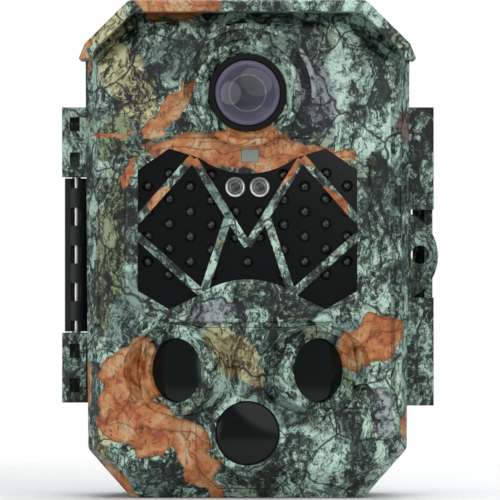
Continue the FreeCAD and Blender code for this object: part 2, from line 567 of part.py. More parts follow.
def front_housing(shell, block):
    posts, holes = screw_bosses()
    strip = box("latch_strip", ("strip_left", "strip_right"), ("strip_y", "bevel_y+strip_root"),
                ("latch_low", "latch_high-strip_end"))
    soft_strip = rounded("latch_strip_soft", strip, sheet.strip_round, lambda e: in_plane(e, sheet.strip_y))
    solid = fuse("front_solid", shell, hood(), *lens_mount(), window_border(), *knuckle_blocks(),
                 *posts, soft_strip, *pod_cups(block))
    behind = "face_y+wall+overrun"
    opening = window_opening("flash_opening", "0", behind, "face_y-window_over")
    bore = rod("lens_bore", "y", "retainer_radius+ease", "bezel_y-overrun", f"{behind}+overrun", "0",
               "lens_z")
    hinge_bore = rod("hinge_bore", "z", "pin_radius+fit", "hinge_low-overrun", "hinge_high+overrun",
                     "hinge_x", "seam_y")
    relief = rod("hinge_relief", "z", "knuckle_radius+knuckle_relief", "barrel_low-knuckle_gap",
                 "barrel_high+knuckle_gap", "hinge_x", "seam_y")
    side_room = box("latch_room", ("latch_side", "far_side"), ("lever_y-lever_gap", "seam_y+overrun"),
                    ("latch_low-lever_end_gap", "latch_high+lever_end_gap"))
    groove = box("latch_groove", ("groove_left", "strip_left"), ("face_y-overrun", "face_y+groove_depth"),
                 ("latch_low", "latch_high"))
    dishes = [pod_rod(f"dish_{word}", side, "pod_radius+plate_gap", "long_run", "-(pod_front+sliver)")
              for side, word in both_sides]
    sensor_slot = box("light_sensor_slot", ("light_left-ease", "light_right+ease"),
                      ("face_y-window_over", behind),
                      ("light_low-ease", "light_high+ease"))
    tools = [opening, bore, hinge_bore, relief, side_room, groove, sensor_slot,
             plate_window("plate_slot", "plate_gap"), *dishes, *holes, *knuckle_slots()]
    opened = cut("front_opened", solid, *tools)
    clearing = rod("guard_clear", "y", "upper_arc-guard_lap", "face_y-guard_over", "face_y+guard_over",
                   "0", "lens_z")
    guard = cut("guard", fuse("guard_bars", *guard_ribs()), clearing)
    return piece("front_housing", fuse("front_housing", opened, guard))


def screw_places():
    return [(side, height) for side in (-1, 1) for height in ("screw_low", "screw_middle", "screw_high")]


def pod_rim(edge):
    """True for the round edge at the front of a side pod."""
    return (edge.Closed and edge.Length > sheet.pod_radius
            and edge.BoundBox.Center.y < sheet.pod_y - tolerance
            and edge.BoundBox.YMin < sheet.face_y - sheet.window_over)


def sensor_plate(shell):
    """The lower front plate: a section of the wall with three pods for the motion sensors."""
    section = common("plate_section", shell, plate_window("plate_area", "0"))
    soft = [rounded(f"pod_soft_{word}",
                    pod_rod(f"pod_{word}", side, "pod_radius", "pod_front", "pod_length"),
                    sheet.pod_round, pod_rim) for side, word in both_sides]
    middle = rod("pod_middle", "y", "centre_pod_radius", "face_y-centre_pod_rise", "bevel_y+overrun",
                 "0", "centre_pod_z")
    middle_soft = rounded("pod_middle_soft", middle, sheet.pod_round,
                          lambda e: in_plane(e, sheet.face_y - sheet.centre_pod_rise))
    hollows = [rod("pod_middle_bore", "y", "eye_radius+fit", "face_y-guard_over", "bevel_y+pod_over",
                   "0", "centre_pod_z"),
               prism("plate_room",
                     [("-plate_back_half", "plate_back_low"), ("plate_back_half", "plate_back_low"),
                                    ("plate_back_half", "plate_back_high"),
                                    ("-plate_back_half", "plate_back_high")],
                     "seam_y", "bevel_y+plate_back")]
    for side, word in both_sides:
        hollows.append(pod_rod(f"pod_bore_{word}", side, "eye_radius+fit", "pod_front+pod_over",
                               "pod_length+pod_over"))
        hollows.append(pod_rod(f"pod_step_{word}", side, "eye_radius+step_wall", "pod_front+pod_over",
                               "step_depth-pod_front"))
    return piece("sensor_plate",
                 cut("sensor_plate", fuse("plate_solid", section, *soft, middle_soft), *hollows))


def motion_sensors():
    """A domed window and a sensor can in each pod."""
    window = [("0", "-eye_crown"), ("eye_radius/2", "-eye_curve"), ("eye_radius", "0"),
              ("eye_radius", "eye_thick"),
              ("0", "eye_thick")]
    can = [("0", "can_front"), ("can_cap", "can_front"), ("can_radius", "can_edge"),
           ("can_radius", "can_base"),
           ("can_rim", "can_base"), ("can_rim", "can_back"), ("0", "can_back")]
    for label, profile in (("motion_window", window), ("motion_sensor", can)):
        for side, word in both_sides:
            name = f"{label}_{word}"
            piece(name, turned(name, profile, f"{side}*pod_x", "pod_z", "pod_y", pod_direction(side)))
        name = f"{label}_middle"
        piece(name, turned(name, profile, "0", "centre_pod_z", "face_y-eye_sunk"))
    piece("sensor_board", box("sensor_board", ("-sensor_board_half", "sensor_board_half"),
                              ("sensor_board_front", "sensor_board_back"),
                              ("sensor_board_low", "sensor_board_high")))


def lens_set():
    piece("lens_glass", domed("lens_glass", "glass_radius", "glass_dome", "glass_y", "glass_thick", "0",
                              "lens_z"))
    piece("lens_retainer", turned("lens_retainer", [
        ("glass_radius+ease", "glass_y-ring_seat"), ("glass_radius+ring_lip", "glass_y-ring_front"),
        ("retainer_radius", "glass_y-ring_front"), ("retainer_radius", "face_y+wall+overrun"),
        ("glass_radius+ease", "face_y+wall+overrun")], "0", "lens_z"))
    seat = "glass_y+glass_thick+ease"
    piece("lens_barrel", turned("lens_barrel", [
        ("barrel_inner", seat), ("glass_radius", seat), ("glass_radius", "barrel_shoulder"),
        ("barrel_waist", "barrel_step"), ("barrel_waist", "barrel_back"), ("barrel_bore", "barrel_back"),
        ("barrel_bore", "barrel_seat"), ("barrel_inner", "barrel_mouth")], "0", "lens_z"))
    piece("iris_ring", turned("iris_ring", [
        ("iris_hole", "iris_front"), ("iris_radius", "iris_front"), ("iris_radius", "iris_back"),
        ("iris_hole", "iris_back")], "0", "lens_z"))
    piece("lens_inner", domed("lens_inner", "rear_lens_radius", "rear_lens_rise", "rear_lens_y",
                              "rear_lens_thick", "0", "lens_z"))
    guide = box("guide_block", ("guide_left", "guide_right"), ("guide_front", "guide_back"),
                ("lens_z-guide_half", "lens_z+guide_half"))
    slot = box("guide_slot", ("track_left", "guide_right+overrun"), ("track_front", "track_back"),
               ("lens_z-track_half", "lens_z+track_half"))
    light = rod("guide_light", "y", "light_hole", "guide_front-overrun", "guide_back+overrun", "0",
                "lens_z")
    piece("filter_guide", cut("filter_guide", guide, slot, light))
    piece("infrared_filter", box("infrared_filter", ("-filter_half", "filter_half"),
                                 ("filter_front", "filter_back"),
                                 ("lens_z-filter_half", "lens_z+filter_half")))
    piece("image_sensor", box("image_sensor", ("-chip_half", "chip_half"), ("chip_front", "chip_back"),
                              ("lens_z-chip_high", "lens_z+chip_high")))
    piece("camera_board", box("camera_board", ("-camera_board_half", "camera_board_half"),
                              ("camera_board_front", "camera_board_back"),
                              ("lens_z-camera_board_high", "lens_z+camera_board_high")))


def led_places():
    """Centres of the infrared diodes: columns a pitch apart, every second one half a row lower."""
    places = []
    for column, (top, count) in enumerate(led_columns):
        offset = (sheet.led_start + column) * sheet.led_pitch
        for row in range(count):
            for side in (-1, 1):
                places.append((side * offset, top - row * sheet.led_row))
    inner = sheet.led_pitch * sheet.led_inner
    places += [(side * inner, height) for height in (sheet.led_upper, sheet.led_lower) for side in (-1, 1)]
    return places + [(0.0, sheet.led_foot)]


def flash():
    panel = window_opening("panel_blank", "panel_lap", "panel_y+panel_thick", "panel_y")
    through = ("panel_y-overrun", "panel_y+panel_thick+overrun")
    sockets = [rod(f"socket_{number}", "y", "led_radius+ease", *through, x, z)
               for number, (x, z) in enumerate(led_places())]
    sockets += [rod(f"clear_socket_{word}", "y", "clear_radius+ease", *through, f"{side}*clear_half",
                    "clear_z")
                for side, word in both_sides]
    piece("flash_panel", cut("flash_panel", panel, *sockets))
    diodes = []
    for x, z in led_places():
        centre = Vector(x, sheet.led_tip + sheet.led_radius, z)
        stem = Part.makeCylinder(sheet.led_radius, sheet.led_body, centre, Vector(0, 1, 0))
        diodes.append(stem.fuse(Part.makeSphere(sheet.led_radius, centre)).removeSplitter())
    leds = doc.addObject("Part::Feature", "infrared_leds")
    leds.Shape = Part.makeCompound(diodes)
    piece("infrared_leds", leds)
    indicators = []
    for side, word in both_sides:
        x = f"{side}*clear_half"
        start = "led_tip+clear_radius-clear_sunk"
        dome = doc.addObject("Part::Sphere", f"clear_dome_{word}")
        size(dome, Radius="clear_radius")
        place(dome, x, start, "clear_z")
        stem = rod(f"clear_stem_{word}", "y", "clear_radius", start, "led_back", x, "clear_z")
        indicators.append(fuse(f"indicator_{word}", dome, stem))
    piece("indicator_leds", group("indicator_leds", indicators))
    piece("led_board", box("led_board", ("-led_board_half", "led_board_half"),
                           ("led_board_front", "led_board_back"), ("led_board_low", "led_board_high")))
    piece("light_sensor", box("light_sensor", ("light_left", "light_right"),
                              ("face_y-light_stand", "face_y+wall"),
                              ("light_low", "light_high")))


def inner_panel():
    """The black cover that closes the back of the front housing, with everything reached from it."""
    back = "cover_y"
    inside = "cover_y-cover_thick"
    side = "half_width-side_wall-cover_foot_in"
    foot = "half_width-side_wall-cover_low_in"
    top = "top_half-cover_top_in"
    bottom = "cavity_foot-cover_foot_in"
    blank = prism("cover_blank", [
        (f"-({bottom})", "wall+cover_foot_up"), (bottom, "wall+cover_foot_up"),
        (foot, "low_z+cover_low_up"),
        (side, "shoulder_z-cover_low_up"), (top, "body_top-wall-cover_foot_in"),
        (f"-({top})", "body_top-wall-cover_foot_in"), (f"-({side})", "shoulder_z-cover_low_up"),
        (f"-({foot})", "low_z+cover_low_up")], back, inside)
    reach = (f"({inside})-overrun", f"({back})+overrun")
    card_high = ("card_z-card_width/2-card_gap", "card_z+card_width/2+card_gap")
    holes = [box("screen_hole", ("-screen_half+screen_lap", "screen_half-screen_lap"), reach,
                 ("screen_low+screen_lip", "screen_high-screen_lip")),
             box("switch_hole", ("-switch_half", "switch_half"), reach,
                 ("switch_z-switch_slot", "switch_z+switch_slot")),
             box("card_hole", ("card_x-card_slot", "card_x+card_slot"), reach, card_high),
             box("port_hole", ("card_x-port_half", "card_x+port_half"), reach, ("port_low", "port_high"))]
    holes += [rod(f"key_hole_{number}", "y", "key_radius+key_gap", *reach, x, z)
              for number, (x, z) in enumerate(key_places())]
    holes += [rod(f"screw_hole_{number}", "y", "screw_radius+screw_hole", *reach, f"{side}*screw_x", height)
              for number, (side, height) in enumerate(screw_places())]
    holes += [box(f"sound_slot_{number}", ("sound_left", "sound_right"), reach,
                  (f"sound_low+{number}*sound_pitch", f"sound_low+sound_slot+{number}*sound_pitch"))
              for number in range(sound_slots)]
    piece("inner_cover", cut("inner_cover", blank, *holes))
    piece("screen", box("screen", ("-screen_half", "screen_half"),
                        (f"{inside}-screen_thick", f"{inside}-ease"),
                        ("screen_low", "screen_high")))
    skirt = f"{inside}-key_gap"
    foot = f"{inside}-key_skirt_low"
    cap = [("0", "cover_y+key_rise"), ("key_radius-key_edge", "cover_y+key_rise"),
           ("key_radius", "cover_y+key_edge"),
           ("key_radius", skirt), ("key_radius+key_skirt", skirt), ("key_radius+key_skirt", foot),
           ("key_stem", foot), ("key_stem", "board_y+key_clear"), ("0", "board_y+key_clear")]
    for word, (x, z) in zip(key_names, key_places()):
        piece(f"key_{word}", turned(f"key_{word}", cap, x, z))
    knob_foot = box("knob_foot", ("-knob_foot_half", "knob_foot_half"),
                    (f"{inside}-knob_foot_low", f"{inside}-key_gap"),
                    ("switch_z-knob_foot_high", "switch_z+knob_foot_high"))
    knob_grip = box("knob_grip", ("-knob_half", "knob_half"), (f"{inside}-key_edge", "cover_y+key_rise"),
                    ("switch_z-knob_high", "switch_z+knob_high"))
    piece("mode_switch", fuse("mode_switch", knob_foot, knob_grip))
    card_and_port(inside, card_high)
    piece("main_board", box("main_board", ("-main_board_half", "main_board_half"),
                            ("board_y-board_thick", "board_y"),
                            ("main_board_low", "main_board_high")))
    piece("speaker", turned("speaker", [
        ("0", f"{inside}-speaker_depth"), ("speaker_radius", f"{inside}-speaker_depth"),
        ("speaker_radius", f"{inside}-socket_rim"), ("speaker_lip", f"{inside}-socket_rim"),
        ("speaker_cone", f"{inside}-cone_edge"), ("0", f"{inside}-cone_middle")], "speaker_x", "speaker_z"))
    piece("microphone", turned("microphone", [
        ("0", f"{inside}-microphone_depth"), ("microphone_radius", f"{inside}-microphone_depth"),
        ("microphone_radius", f"{inside}-socket_rim"), ("0", f"{inside}-socket_rim")],
        "microphone_x", "microphone_z"))
    screw = [("0", "cover_y+screw_top"), ("screw_dome", "cover_y+head_rise"),
             ("head_radius", "cover_y+ease"),
             ("screw_radius", "cover_y+ease"), ("screw_radius", "cover_y-screw_length"),
             ("0", "cover_y-screw_length")]
    piece("cover_screws", group("cover_screws", [
        turned(f"cover_screw_{number}", screw, f"{side}*screw_x", height)
        for number, (side, height) in enumerate(screw_places())]))


def card_and_port(inside, card_high):
    """The memory card in its socket, and the data port above it."""
    socket = box("card_socket_block", ("card_x-socket_left", "card_x+socket_right"),
                 (f"{inside}-socket_depth", f"{inside}-socket_rim"),
                 ("card_z-card_width/2-socket_over", "card_z+card_width/2+socket_over"))
    throat = box("card_throat", ("card_x-card_slot", "card_x+card_slot"),
                 (f"{inside}-throat_depth", f"{inside}+overrun"), card_high)
    piece("card_socket", cut("card_socket", socket, throat))
    piece("memory_card", box("memory_card", ("card_x-card_half", "card_x+card_half"),
                             (f"{inside}-card_depth", f"{inside}+card_proud"),
                             ("card_z-card_width/2", "card_z+card_width/2")))
    port = box("port_block", ("card_x-port_shell", "card_x+port_shell"),
               (f"{inside}-port_depth", f"{inside}+overrun"),
               ("port_low+port_end", "port_high-port_end"))
    room = box("port_room", ("card_x-port_shell+port_wall", "card_x+port_shell-port_wall"),
               (f"{inside}-port_depth+overrun", f"{inside}+2*overrun"),
               ("port_low+port_end+card_half", "port_high-port_end-card_half"))
    tongue = box("port_tongue", ("card_x-tongue_half", "card_x+tongue_half"),
                 (f"{inside}-port_depth+port_shell/2", inside),
                 ("port_low+tongue_end", "port_high-tongue_end"))
    piece("data_port", fuse("data_port", cut("port_shell", port, room), tongue))


key_names = ("menu", "up", "down", "left", "right", "enter")


def key_places():
    return [("-key_pitch*2", "key_z+key_pitch"), ("0", "key_z+key_pitch"), ("0", "key_z-key_pitch"),
            ("-key_pitch", "key_z"), ("key_pitch", "key_z"), ("0", "key_z")]


# ---------- rear housing ----------

def rear_housing():
    block = prism("rear_block", case_corners, "back_y", "seam_y")
    corners = rounded("rear_corners", block, sheet.corner_round, lambda e: along(e, Vector(0, 1, 0)))
    soft = rounded("rear_soft", corners, sheet.edge_round, lambda e: in_plane(e, sheet.back_y))
    room = prism("rear_room", inset(case_corners, "wall", "wall"), "back_y-wall", "seam_y-overrun")
    hollow = cut("rear_hollow", soft, room)
    boss = rod("insert_boss", "z", "boss_radius", "boss_floor", "insert_length+boss_roof", "0", "0")
    pads, slots = strap_loops()
    lugs = []
    for word, low in (("low", "latch_low+lug_inset"), ("high", "latch_high-lug_inset-lug_height")):
        high = f"{low}+lug_height"
        lugs.append(rod(f"lug_{word}", "z", "lug_radius", low, high, "latch_x", "latch_y"))
        lugs.append(box(f"lug_root_{word}", ("half_width-lug_sunk", "latch_x"),
                        ("latch_y-lug_radius", "latch_y+lug_radius"), (low, high)))
    solid = fuse("rear_solid", hollow, boss, *pads, *lugs, *padlock_loop())
    relief = [rod(f"rear_relief_{word}", "z", "knuckle_radius+rear_relief", low, high, "hinge_x", "seam_y")
              for word, low, high in (("low", "hinge_low-relief_end", "barrel_low"),
                                      ("high", "barrel_high", "hinge_high+relief_end"))]
    insert_bore = rod("insert_bore", "z", "insert_radius-sliver", "-overrun", "insert_length", "0", "0")
    padlock_bore = rod("padlock_bore", "y", "padlock_radius", "loop_front-overrun",
                       "loop_front+loop_thick+overrun",
                       "padlock_x", "padlock_z")
    latch_bore = rod("latch_bore", "z", "latch_pin_radius", "latch_low", "latch_high", "latch_x", "latch_y")
    inlet_bore = rod("inlet_bore", "z", "inlet_radius+neck_wall+fit", "-overrun", "wall+overrun",
                     "inlet_x", "inlet_y")
    inlet_dish = rod("inlet_dish", "z", "plug_radius+card_gap", "-overrun", "plug_thick+card_gap",
                     "inlet_x", "inlet_y")
    groove_inside = "seal_edge+seal_width"
    groove = cut("seal_groove", prism("groove_outer", inset(case_corners, "seal_edge", "seal_edge"),
                                      "seam_y+seal_depth", "seam_y-overrun"),
                 prism("groove_inner", inset(case_corners, groove_inside, groove_inside),
                       "seam_y+seal_depth+overrun", "seam_y-2*overrun"))
    hinge_cut = rod("hinge_cut", "z", "knuckle_radius+sliver", "barrel_low", "barrel_high", "hinge_x",
                    "seam_y")
    return piece("rear_housing",
                 cut("rear_housing", solid, *slots, *relief, insert_bore, padlock_bore, latch_bore,
                                     inlet_bore, inlet_dish, hinge_cut, groove))


def strap_loops():
    """Two pads on the back, each with a slot behind it for the strap."""
    pads = []
    slots = []
    top = "back_y+strap_slot+strap_bar"
    for side, word in both_sides:
        near = f"{side}*strap_x" if side > 0 else f"{side}*(strap_x+strap_width)"
        pad = box(f"strap_pad_{word}", (near, f"{near}+strap_width"), ("back_y-strap_sunk", top),
                  ("strap_low", "strap_high"))
        pads.append(rounded(f"strap_soft_{word}", pad, sheet.strap_round,
                            lambda e: in_plane(e, sheet.back_y + sheet.strap_slot + sheet.strap_bar)))
        slots.append(box(f"strap_slot_{word}", (f"{near}-strap_over", f"{near}+strap_width+strap_over"),
                         ("back_y", "back_y+strap_slot"),
                         ("strap_low+strap_bridge", "strap_high-strap_bridge")))
    return pads, slots


def padlock_loop():
    """The round eye beside the case and the two arms that carry it."""
    disc = rod("loop_disc", "y", "loop_radius", "loop_front", "loop_front+loop_thick", "loop_x", "loop_z")
    near = "latch_side+arm_gap"
    outside = box("loop_side", (near, "far_side"), ("loop_front-overrun", "0"), ("loop_low", "loop_high"))
    arms = [box(f"loop_arm_{low}", (near, "latch_side+arm_thick"), ("loop_front", "seam_y+arm_back"),
                (low, high))
            for low, high in (("arm_foot", "arm_foot_top"), ("arm_head", "arm_head_top"))]
    return [common("padlock_eye", disc, outside), *arms]


def hinge():
    barrel = rod("barrel_round", "z", "knuckle_radius", "barrel_low", "barrel_high", "hinge_x", "seam_y")
    arm = box("barrel_arm", ("hinge_x-arm_left", "-half_width"), ("seam_y", "seam_y+arm_depth"),
              ("barrel_low", "barrel_high"))
    bore = rod("barrel_bore", "z", "pin_radius", "barrel_low-overrun", "barrel_high+overrun", "hinge_x",
               "seam_y")
    windows = []
    for number in range(barrel_windows):
        middle = f"barrel_window_foot+{number}*barrel_window_pitch"
        windows.append(box(f"barrel_window_{number}",
                           ("hinge_x-barrel_window_left", "hinge_x+barrel_window_right"),
                           ("seam_y-barrel_window_front", "seam_y-barrel_window_back"),
                           (f"{middle}-barrel_window_half", f"{middle}+barrel_window_half")))
    piece("hinge_barrel", cut("hinge_barrel", fuse("barrel_solid", barrel, arm), bore, *windows))
    piece("hinge_pin", rod("hinge_pin", "z", "pin_radius", "hinge_low+pin_end", "hinge_high-pin_end",
                           "hinge_x", "seam_y"))


def latch():
    whole = ("latch_low", "latch_high")
    middle = ("latch_low+lug_inset+lever_ease+lug_height", "latch_high-lug_inset-lever_ease-lug_height")
    wall = ("lever_right-lever_wall+lever_thin", "lever_right")
    front = box("lever_front", ("lever_left", "lever_right"), ("lever_y", "lever_y+lever_wall"), whole)
    side = box("lever_side", wall, ("lever_y", "latch_y-lever_run"), whole)
    web = box("lever_web", wall, ("latch_y-web_front", "latch_y"), middle)
    barrel = rod("lever_barrel", "z", "lug_radius-ease", *middle, "latch_x", "latch_y")
    solid = fuse("lever_solid", front, side, web, barrel)
    notch = box("lever_notch", ("notch_x", "far_side"), ("lever_y-overrun", "lever_y+notch_depth"),
                ("notch_low", "notch_high"))
    bore = rod("lever_bore", "z", "latch_pin_radius+fit", "0", "body_top", "latch_x", "latch_y")
    soft = rounded("lever_soft", cut("lever_shaped", solid, notch, bore), sheet.lip_round,
                   lambda e: along(e, Vector(0, 0, 1)) and in_plane(e, sheet.lever_y)
                   and abs(e.BoundBox.Center.x - sheet.lever_right) < tolerance)
    piece("latch_lever", soft)
    piece("latch_pin", rod("latch_pin", "z", "latch_pin_radius", "latch_low+latch_pin_end",
                           "latch_high-latch_pin_end", "latch_x", "latch_y"))


def seal():
    near = "seal_edge+fit"
    far = "seal_edge+seal_width-fit"
    outer = prism("seal_outer", inset(case_corners, near, near), "seam_y+seal_depth", "seam_y-ease")
    inner = prism("seal_inner", inset(case_corners, far, far), "seam_y+seal_depth+overrun",
                  "seam_y-overrun")
    piece("seal_gasket", cut("seal_gasket", outer, inner))


def cell_places():
    return [(f"cell_pitch*({column}-({cell_columns}-1)/2)", row) for row in range(cell_rows)
            for column in range(cell_columns)]


def power_pack():
    """Eight cells in a tray, every second one upside down, with a spring and a plate at the ends of each."""
    tray = box("tray_block", ("-tray_half", "tray_half"), ("tray_y", "back_y-wall-ease"),
               ("tray_low", "tray_high"))
    troughs = []
    springs = []
    plates = []
    for number, (x, row) in enumerate(cell_places()):
        low = f"cell_low+{row}*row_pitch"
        high = f"{low}+cell_length"
        troughs.append(rod(f"trough_{number}", "z", "cell_radius+trough_gap", f"{low}-trough_end",
                           f"{high}+trough_end",
                           x, "cell_y"))
        body = rod(f"cell_can_{number}", "z", "cell_radius", low, high, x, "cell_y")
        upside_down = number % 2
        nub_low = f"{low}-nub_length" if upside_down else high
        spring_low = f"{high}+fit" if upside_down else f"{low}-spring_length-fit"
        plate_low = f"{low}-contact_low" if upside_down else f"{high}+contact_high"
        ends = ("spring_narrow", "spring_wide") if upside_down else ("spring_wide", "spring_narrow")
        nub = rod(f"cell_nub_{number}", "z", "nub_radius", nub_low, f"{nub_low}+nub_length", x, "cell_y")
        piece(f"cell_{number + 1}", fuse(f"cell_{number + 1}", body, nub))
        springs.append(rod(f"spring_{number}", "z", ends[0], spring_low, f"{spring_low}+spring_length", x,
                           "cell_y",
                           end_radius=ends[1]))
        plates.append(box(f"plate_{number}", (f"{x}-contact_half", f"{x}+contact_half"),
                          ("cell_y-contact_half", "cell_y+contact_half"),
                          (plate_low, f"{plate_low}+contact_thick")))
    piece("battery_tray", cut("battery_tray", tray, *troughs))
    piece("contact_springs", group("contact_springs", springs))
    piece("contact_plates", group("contact_plates", plates))


def inlet_rod(name, radius, start, end):
    return rod(name, "z", radius, start, end, "inlet_x", "inlet_y")


def bottom_fittings():
    """The threaded insert for a tripod, and the power inlet with its rubber plug."""
    brass = rod("insert_blank", "z", "insert_radius-fit", "0", "insert_length", "0", "0")
    thread = rod("insert_thread", "z", "insert_hole", "-overrun", "insert_length+overrun", "0", "0")
    piece("tripod_insert", cut("tripod_insert", brass, thread))
    body = box("inlet_block", ("inlet_x-inlet_half", "inlet_x+inlet_half"),
               ("inlet_y-inlet_half", "inlet_y+inlet_half"), ("wall+fit", "tray_low-trough_gap"))
    neck = inlet_rod("inlet_neck", "inlet_radius+neck_wall", "plug_thick+card_gap+ease", "wall+overrun")
    hole = inlet_rod("inlet_hole", "inlet_radius", "0", "tray_low-inlet_roof")
    piece("power_inlet", cut("power_inlet", fuse("inlet_solid", body, neck), hole))
    piece("inlet_contact", inlet_rod("inlet_contact", "contact_radius", "wall+inlet_roof",
                                     "tray_low-inlet_roof"))
    flange = inlet_rod("plug_flange", "plug_radius", "plug_lift", "plug_thick")
    stem = inlet_rod("plug_stem", "inlet_radius-plug_lift", "plug_thick", "wall+plug_depth")
    core = inlet_rod("plug_core", "core_radius", "wall+overrun", "wall+plug_depth+overrun")
    piece("inlet_plug", cut("inlet_plug", fuse("plug_solid", flange, stem), core))


# ---------- assembly ----------

blank = front_blank()
shell = cut("front_shell", blank, front_cavity())
front_housing(shell, blank)
sensor_plate(shell)
motion_sensors()
lens_set()
flash()
inner_panel()
rear_housing()
hinge()
latch()
seal()
power_pack()
bottom_fittings()
doc.recompute()

for thing in doc.Objects:
    if "Invalid" in thing.State or "Error" in thing.State:
        raise RuntimeError(f"{thing.Name} failed: {thing.State}")
for thing in pieces:
    if thing.Shape.isNull() or not thing.Shape.isValid():
        raise RuntimeError(f"{thing.Label} has no valid shape")

os.makedirs("parts", exist_ok=True)
for thing in pieces:
    thing.Shape.exportStep(f"parts/{thing.Label}.step")
    print(thing.Label, len(thing.Shape.Solids), round(thing.Shape.Volume, 1))
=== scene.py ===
import bpy
import math
from mathutils import Matrix, Vector


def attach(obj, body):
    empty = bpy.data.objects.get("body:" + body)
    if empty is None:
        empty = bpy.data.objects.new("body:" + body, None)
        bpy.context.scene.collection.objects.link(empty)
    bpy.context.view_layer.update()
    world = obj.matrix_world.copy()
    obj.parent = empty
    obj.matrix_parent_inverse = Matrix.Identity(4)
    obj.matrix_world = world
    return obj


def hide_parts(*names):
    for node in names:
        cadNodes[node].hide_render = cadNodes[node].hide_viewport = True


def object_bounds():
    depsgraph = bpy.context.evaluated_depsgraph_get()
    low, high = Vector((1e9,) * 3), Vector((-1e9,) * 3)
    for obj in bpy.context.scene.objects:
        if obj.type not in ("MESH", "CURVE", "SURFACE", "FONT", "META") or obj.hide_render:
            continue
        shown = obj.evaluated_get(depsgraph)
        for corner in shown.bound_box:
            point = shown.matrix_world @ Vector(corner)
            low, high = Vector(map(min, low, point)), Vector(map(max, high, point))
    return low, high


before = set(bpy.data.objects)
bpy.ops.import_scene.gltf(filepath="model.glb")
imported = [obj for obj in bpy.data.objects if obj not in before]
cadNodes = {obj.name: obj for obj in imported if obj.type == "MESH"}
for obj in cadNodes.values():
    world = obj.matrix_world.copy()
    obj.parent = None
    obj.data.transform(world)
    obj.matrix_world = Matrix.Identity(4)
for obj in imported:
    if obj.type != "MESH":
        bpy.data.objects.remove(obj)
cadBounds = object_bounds()
print("frame loaded:", len(cadNodes), "CAD nodes")

millimetre = 0.001


# small helpers for building shader trees

def newNode(tree, kind, **settings):
    node = tree.nodes.new(kind)
    for name, value in settings.items():
        setattr(node, name, value)
    return node


def plug(tree, value, socket):
    # a socket is linked, anything else is typed in
    if isinstance(value, bpy.types.NodeSocket):
        tree.links.new(value, socket)
    else:
        socket.default_value = value


def calc(tree, operation, *values):
    node = newNode(tree, "ShaderNodeMath", operation=operation)
    for index, value in enumerate(values):
        plug(tree, value, node.inputs[index])
    return node.outputs[0]


def mixColors(tree, factor, first, second):
    node = newNode(tree, "ShaderNodeMix", data_type="RGBA")
    plug(tree, factor, node.inputs[0])
    plug(tree, first, node.inputs[6])
    plug(tree, second, node.inputs[7])
    return node.outputs[2]


def ramp(tree, factor, stops):
    node = newNode(tree, "ShaderNodeValToRGB")
    while len(node.color_ramp.elements) < len(stops):
        node.color_ramp.elements.new(0.5)
    for element, (position, color) in zip(node.color_ramp.elements, stops):
        element.position = position
        element.color = color if len(color) == 4 else (*color, 1)
    plug(tree, factor, node.inputs[0])
    return node.outputs[0]


def noise(tree, vector, scale, detail=4, roughness=0.6, distortion=0.0):
    node = newNode(tree, "ShaderNodeTexNoise")
    plug(tree, vector, node.inputs["Vector"])
    node.inputs["Scale"].default_value = scale
    node.inputs["Detail"].default_value = detail
    node.inputs["Roughness"].default_value = roughness
    node.inputs["Distortion"].default_value = distortion
    return node


def cells(tree, vector, scale, feature="DISTANCE_TO_EDGE"):
    node = newNode(tree, "ShaderNodeTexVoronoi", feature=feature)
    plug(tree, vector, node.inputs["Vector"])
    node.inputs["Scale"].default_value = scale
    return node


def moved(tree, vector, amount, source):
    # pushes a coordinate about by a colour noise centred on zero
    centred = newNode(tree, "ShaderNodeVectorMath", operation="SUBTRACT")
    plug(tree, source, centred.inputs[0])
    centred.inputs[1].default_value = (0.5, 0.5, 0.5)
    scaled = newNode(tree, "ShaderNodeVectorMath", operation="SCALE")
    plug(tree, centred.outputs[0], scaled.inputs[0])
    scaled.inputs["Scale"].default_value = amount
    total = newNode(tree, "ShaderNodeVectorMath", operation="ADD")
    plug(tree, vector, total.inputs[0])
    plug(tree, scaled.outputs[0], total.inputs[1])
    return total.outputs[0]


def between(tree, value, low, high):
    # 0 below low, 1 above high, smooth in between
    node = newNode(tree, "ShaderNodeMapRange", interpolation_type="SMOOTHSTEP")
    plug(tree, value, node.inputs[0])
    plug(tree, low, node.inputs[1])
    plug(tree, high, node.inputs[2])
    return node.outputs[0]


def addBump(tree, shader, height, distance, strength=1.0):
    bump = newNode(tree, "ShaderNodeBump")
    bump.inputs["Strength"].default_value = strength
    bump.inputs["Distance"].default_value = distance
    plug(tree, height, bump.inputs["Height"])
    plug(tree, bump.outputs[0], shader.inputs["Normal"])


def paint(red, green, blue):
    # screen colour 0-255 to the linear value that shaders use
    def linear(channel):
        share = channel / 255
        return share / 12.92 if share <= 0.04045 else ((share + 0.055) / 1.055) ** 2.4
    return (linear(red), linear(green), linear(blue), 1)


def newGroup(name, inputs, outputs):
    tree = bpy.data.node_groups.new(name, "ShaderNodeTree")
    for label, kind in inputs:
        tree.interface.new_socket(label, in_out="INPUT", socket_type=kind)
    for label, kind in outputs:
        tree.interface.new_socket(label, in_out="OUTPUT", socket_type=kind)
    return tree, newNode(tree, "NodeGroupInput"), newNode(tree, "NodeGroupOutput")


# one printed leaf or patch of bark, sized in millimetres: how far inside its oval a point lies, and its veins

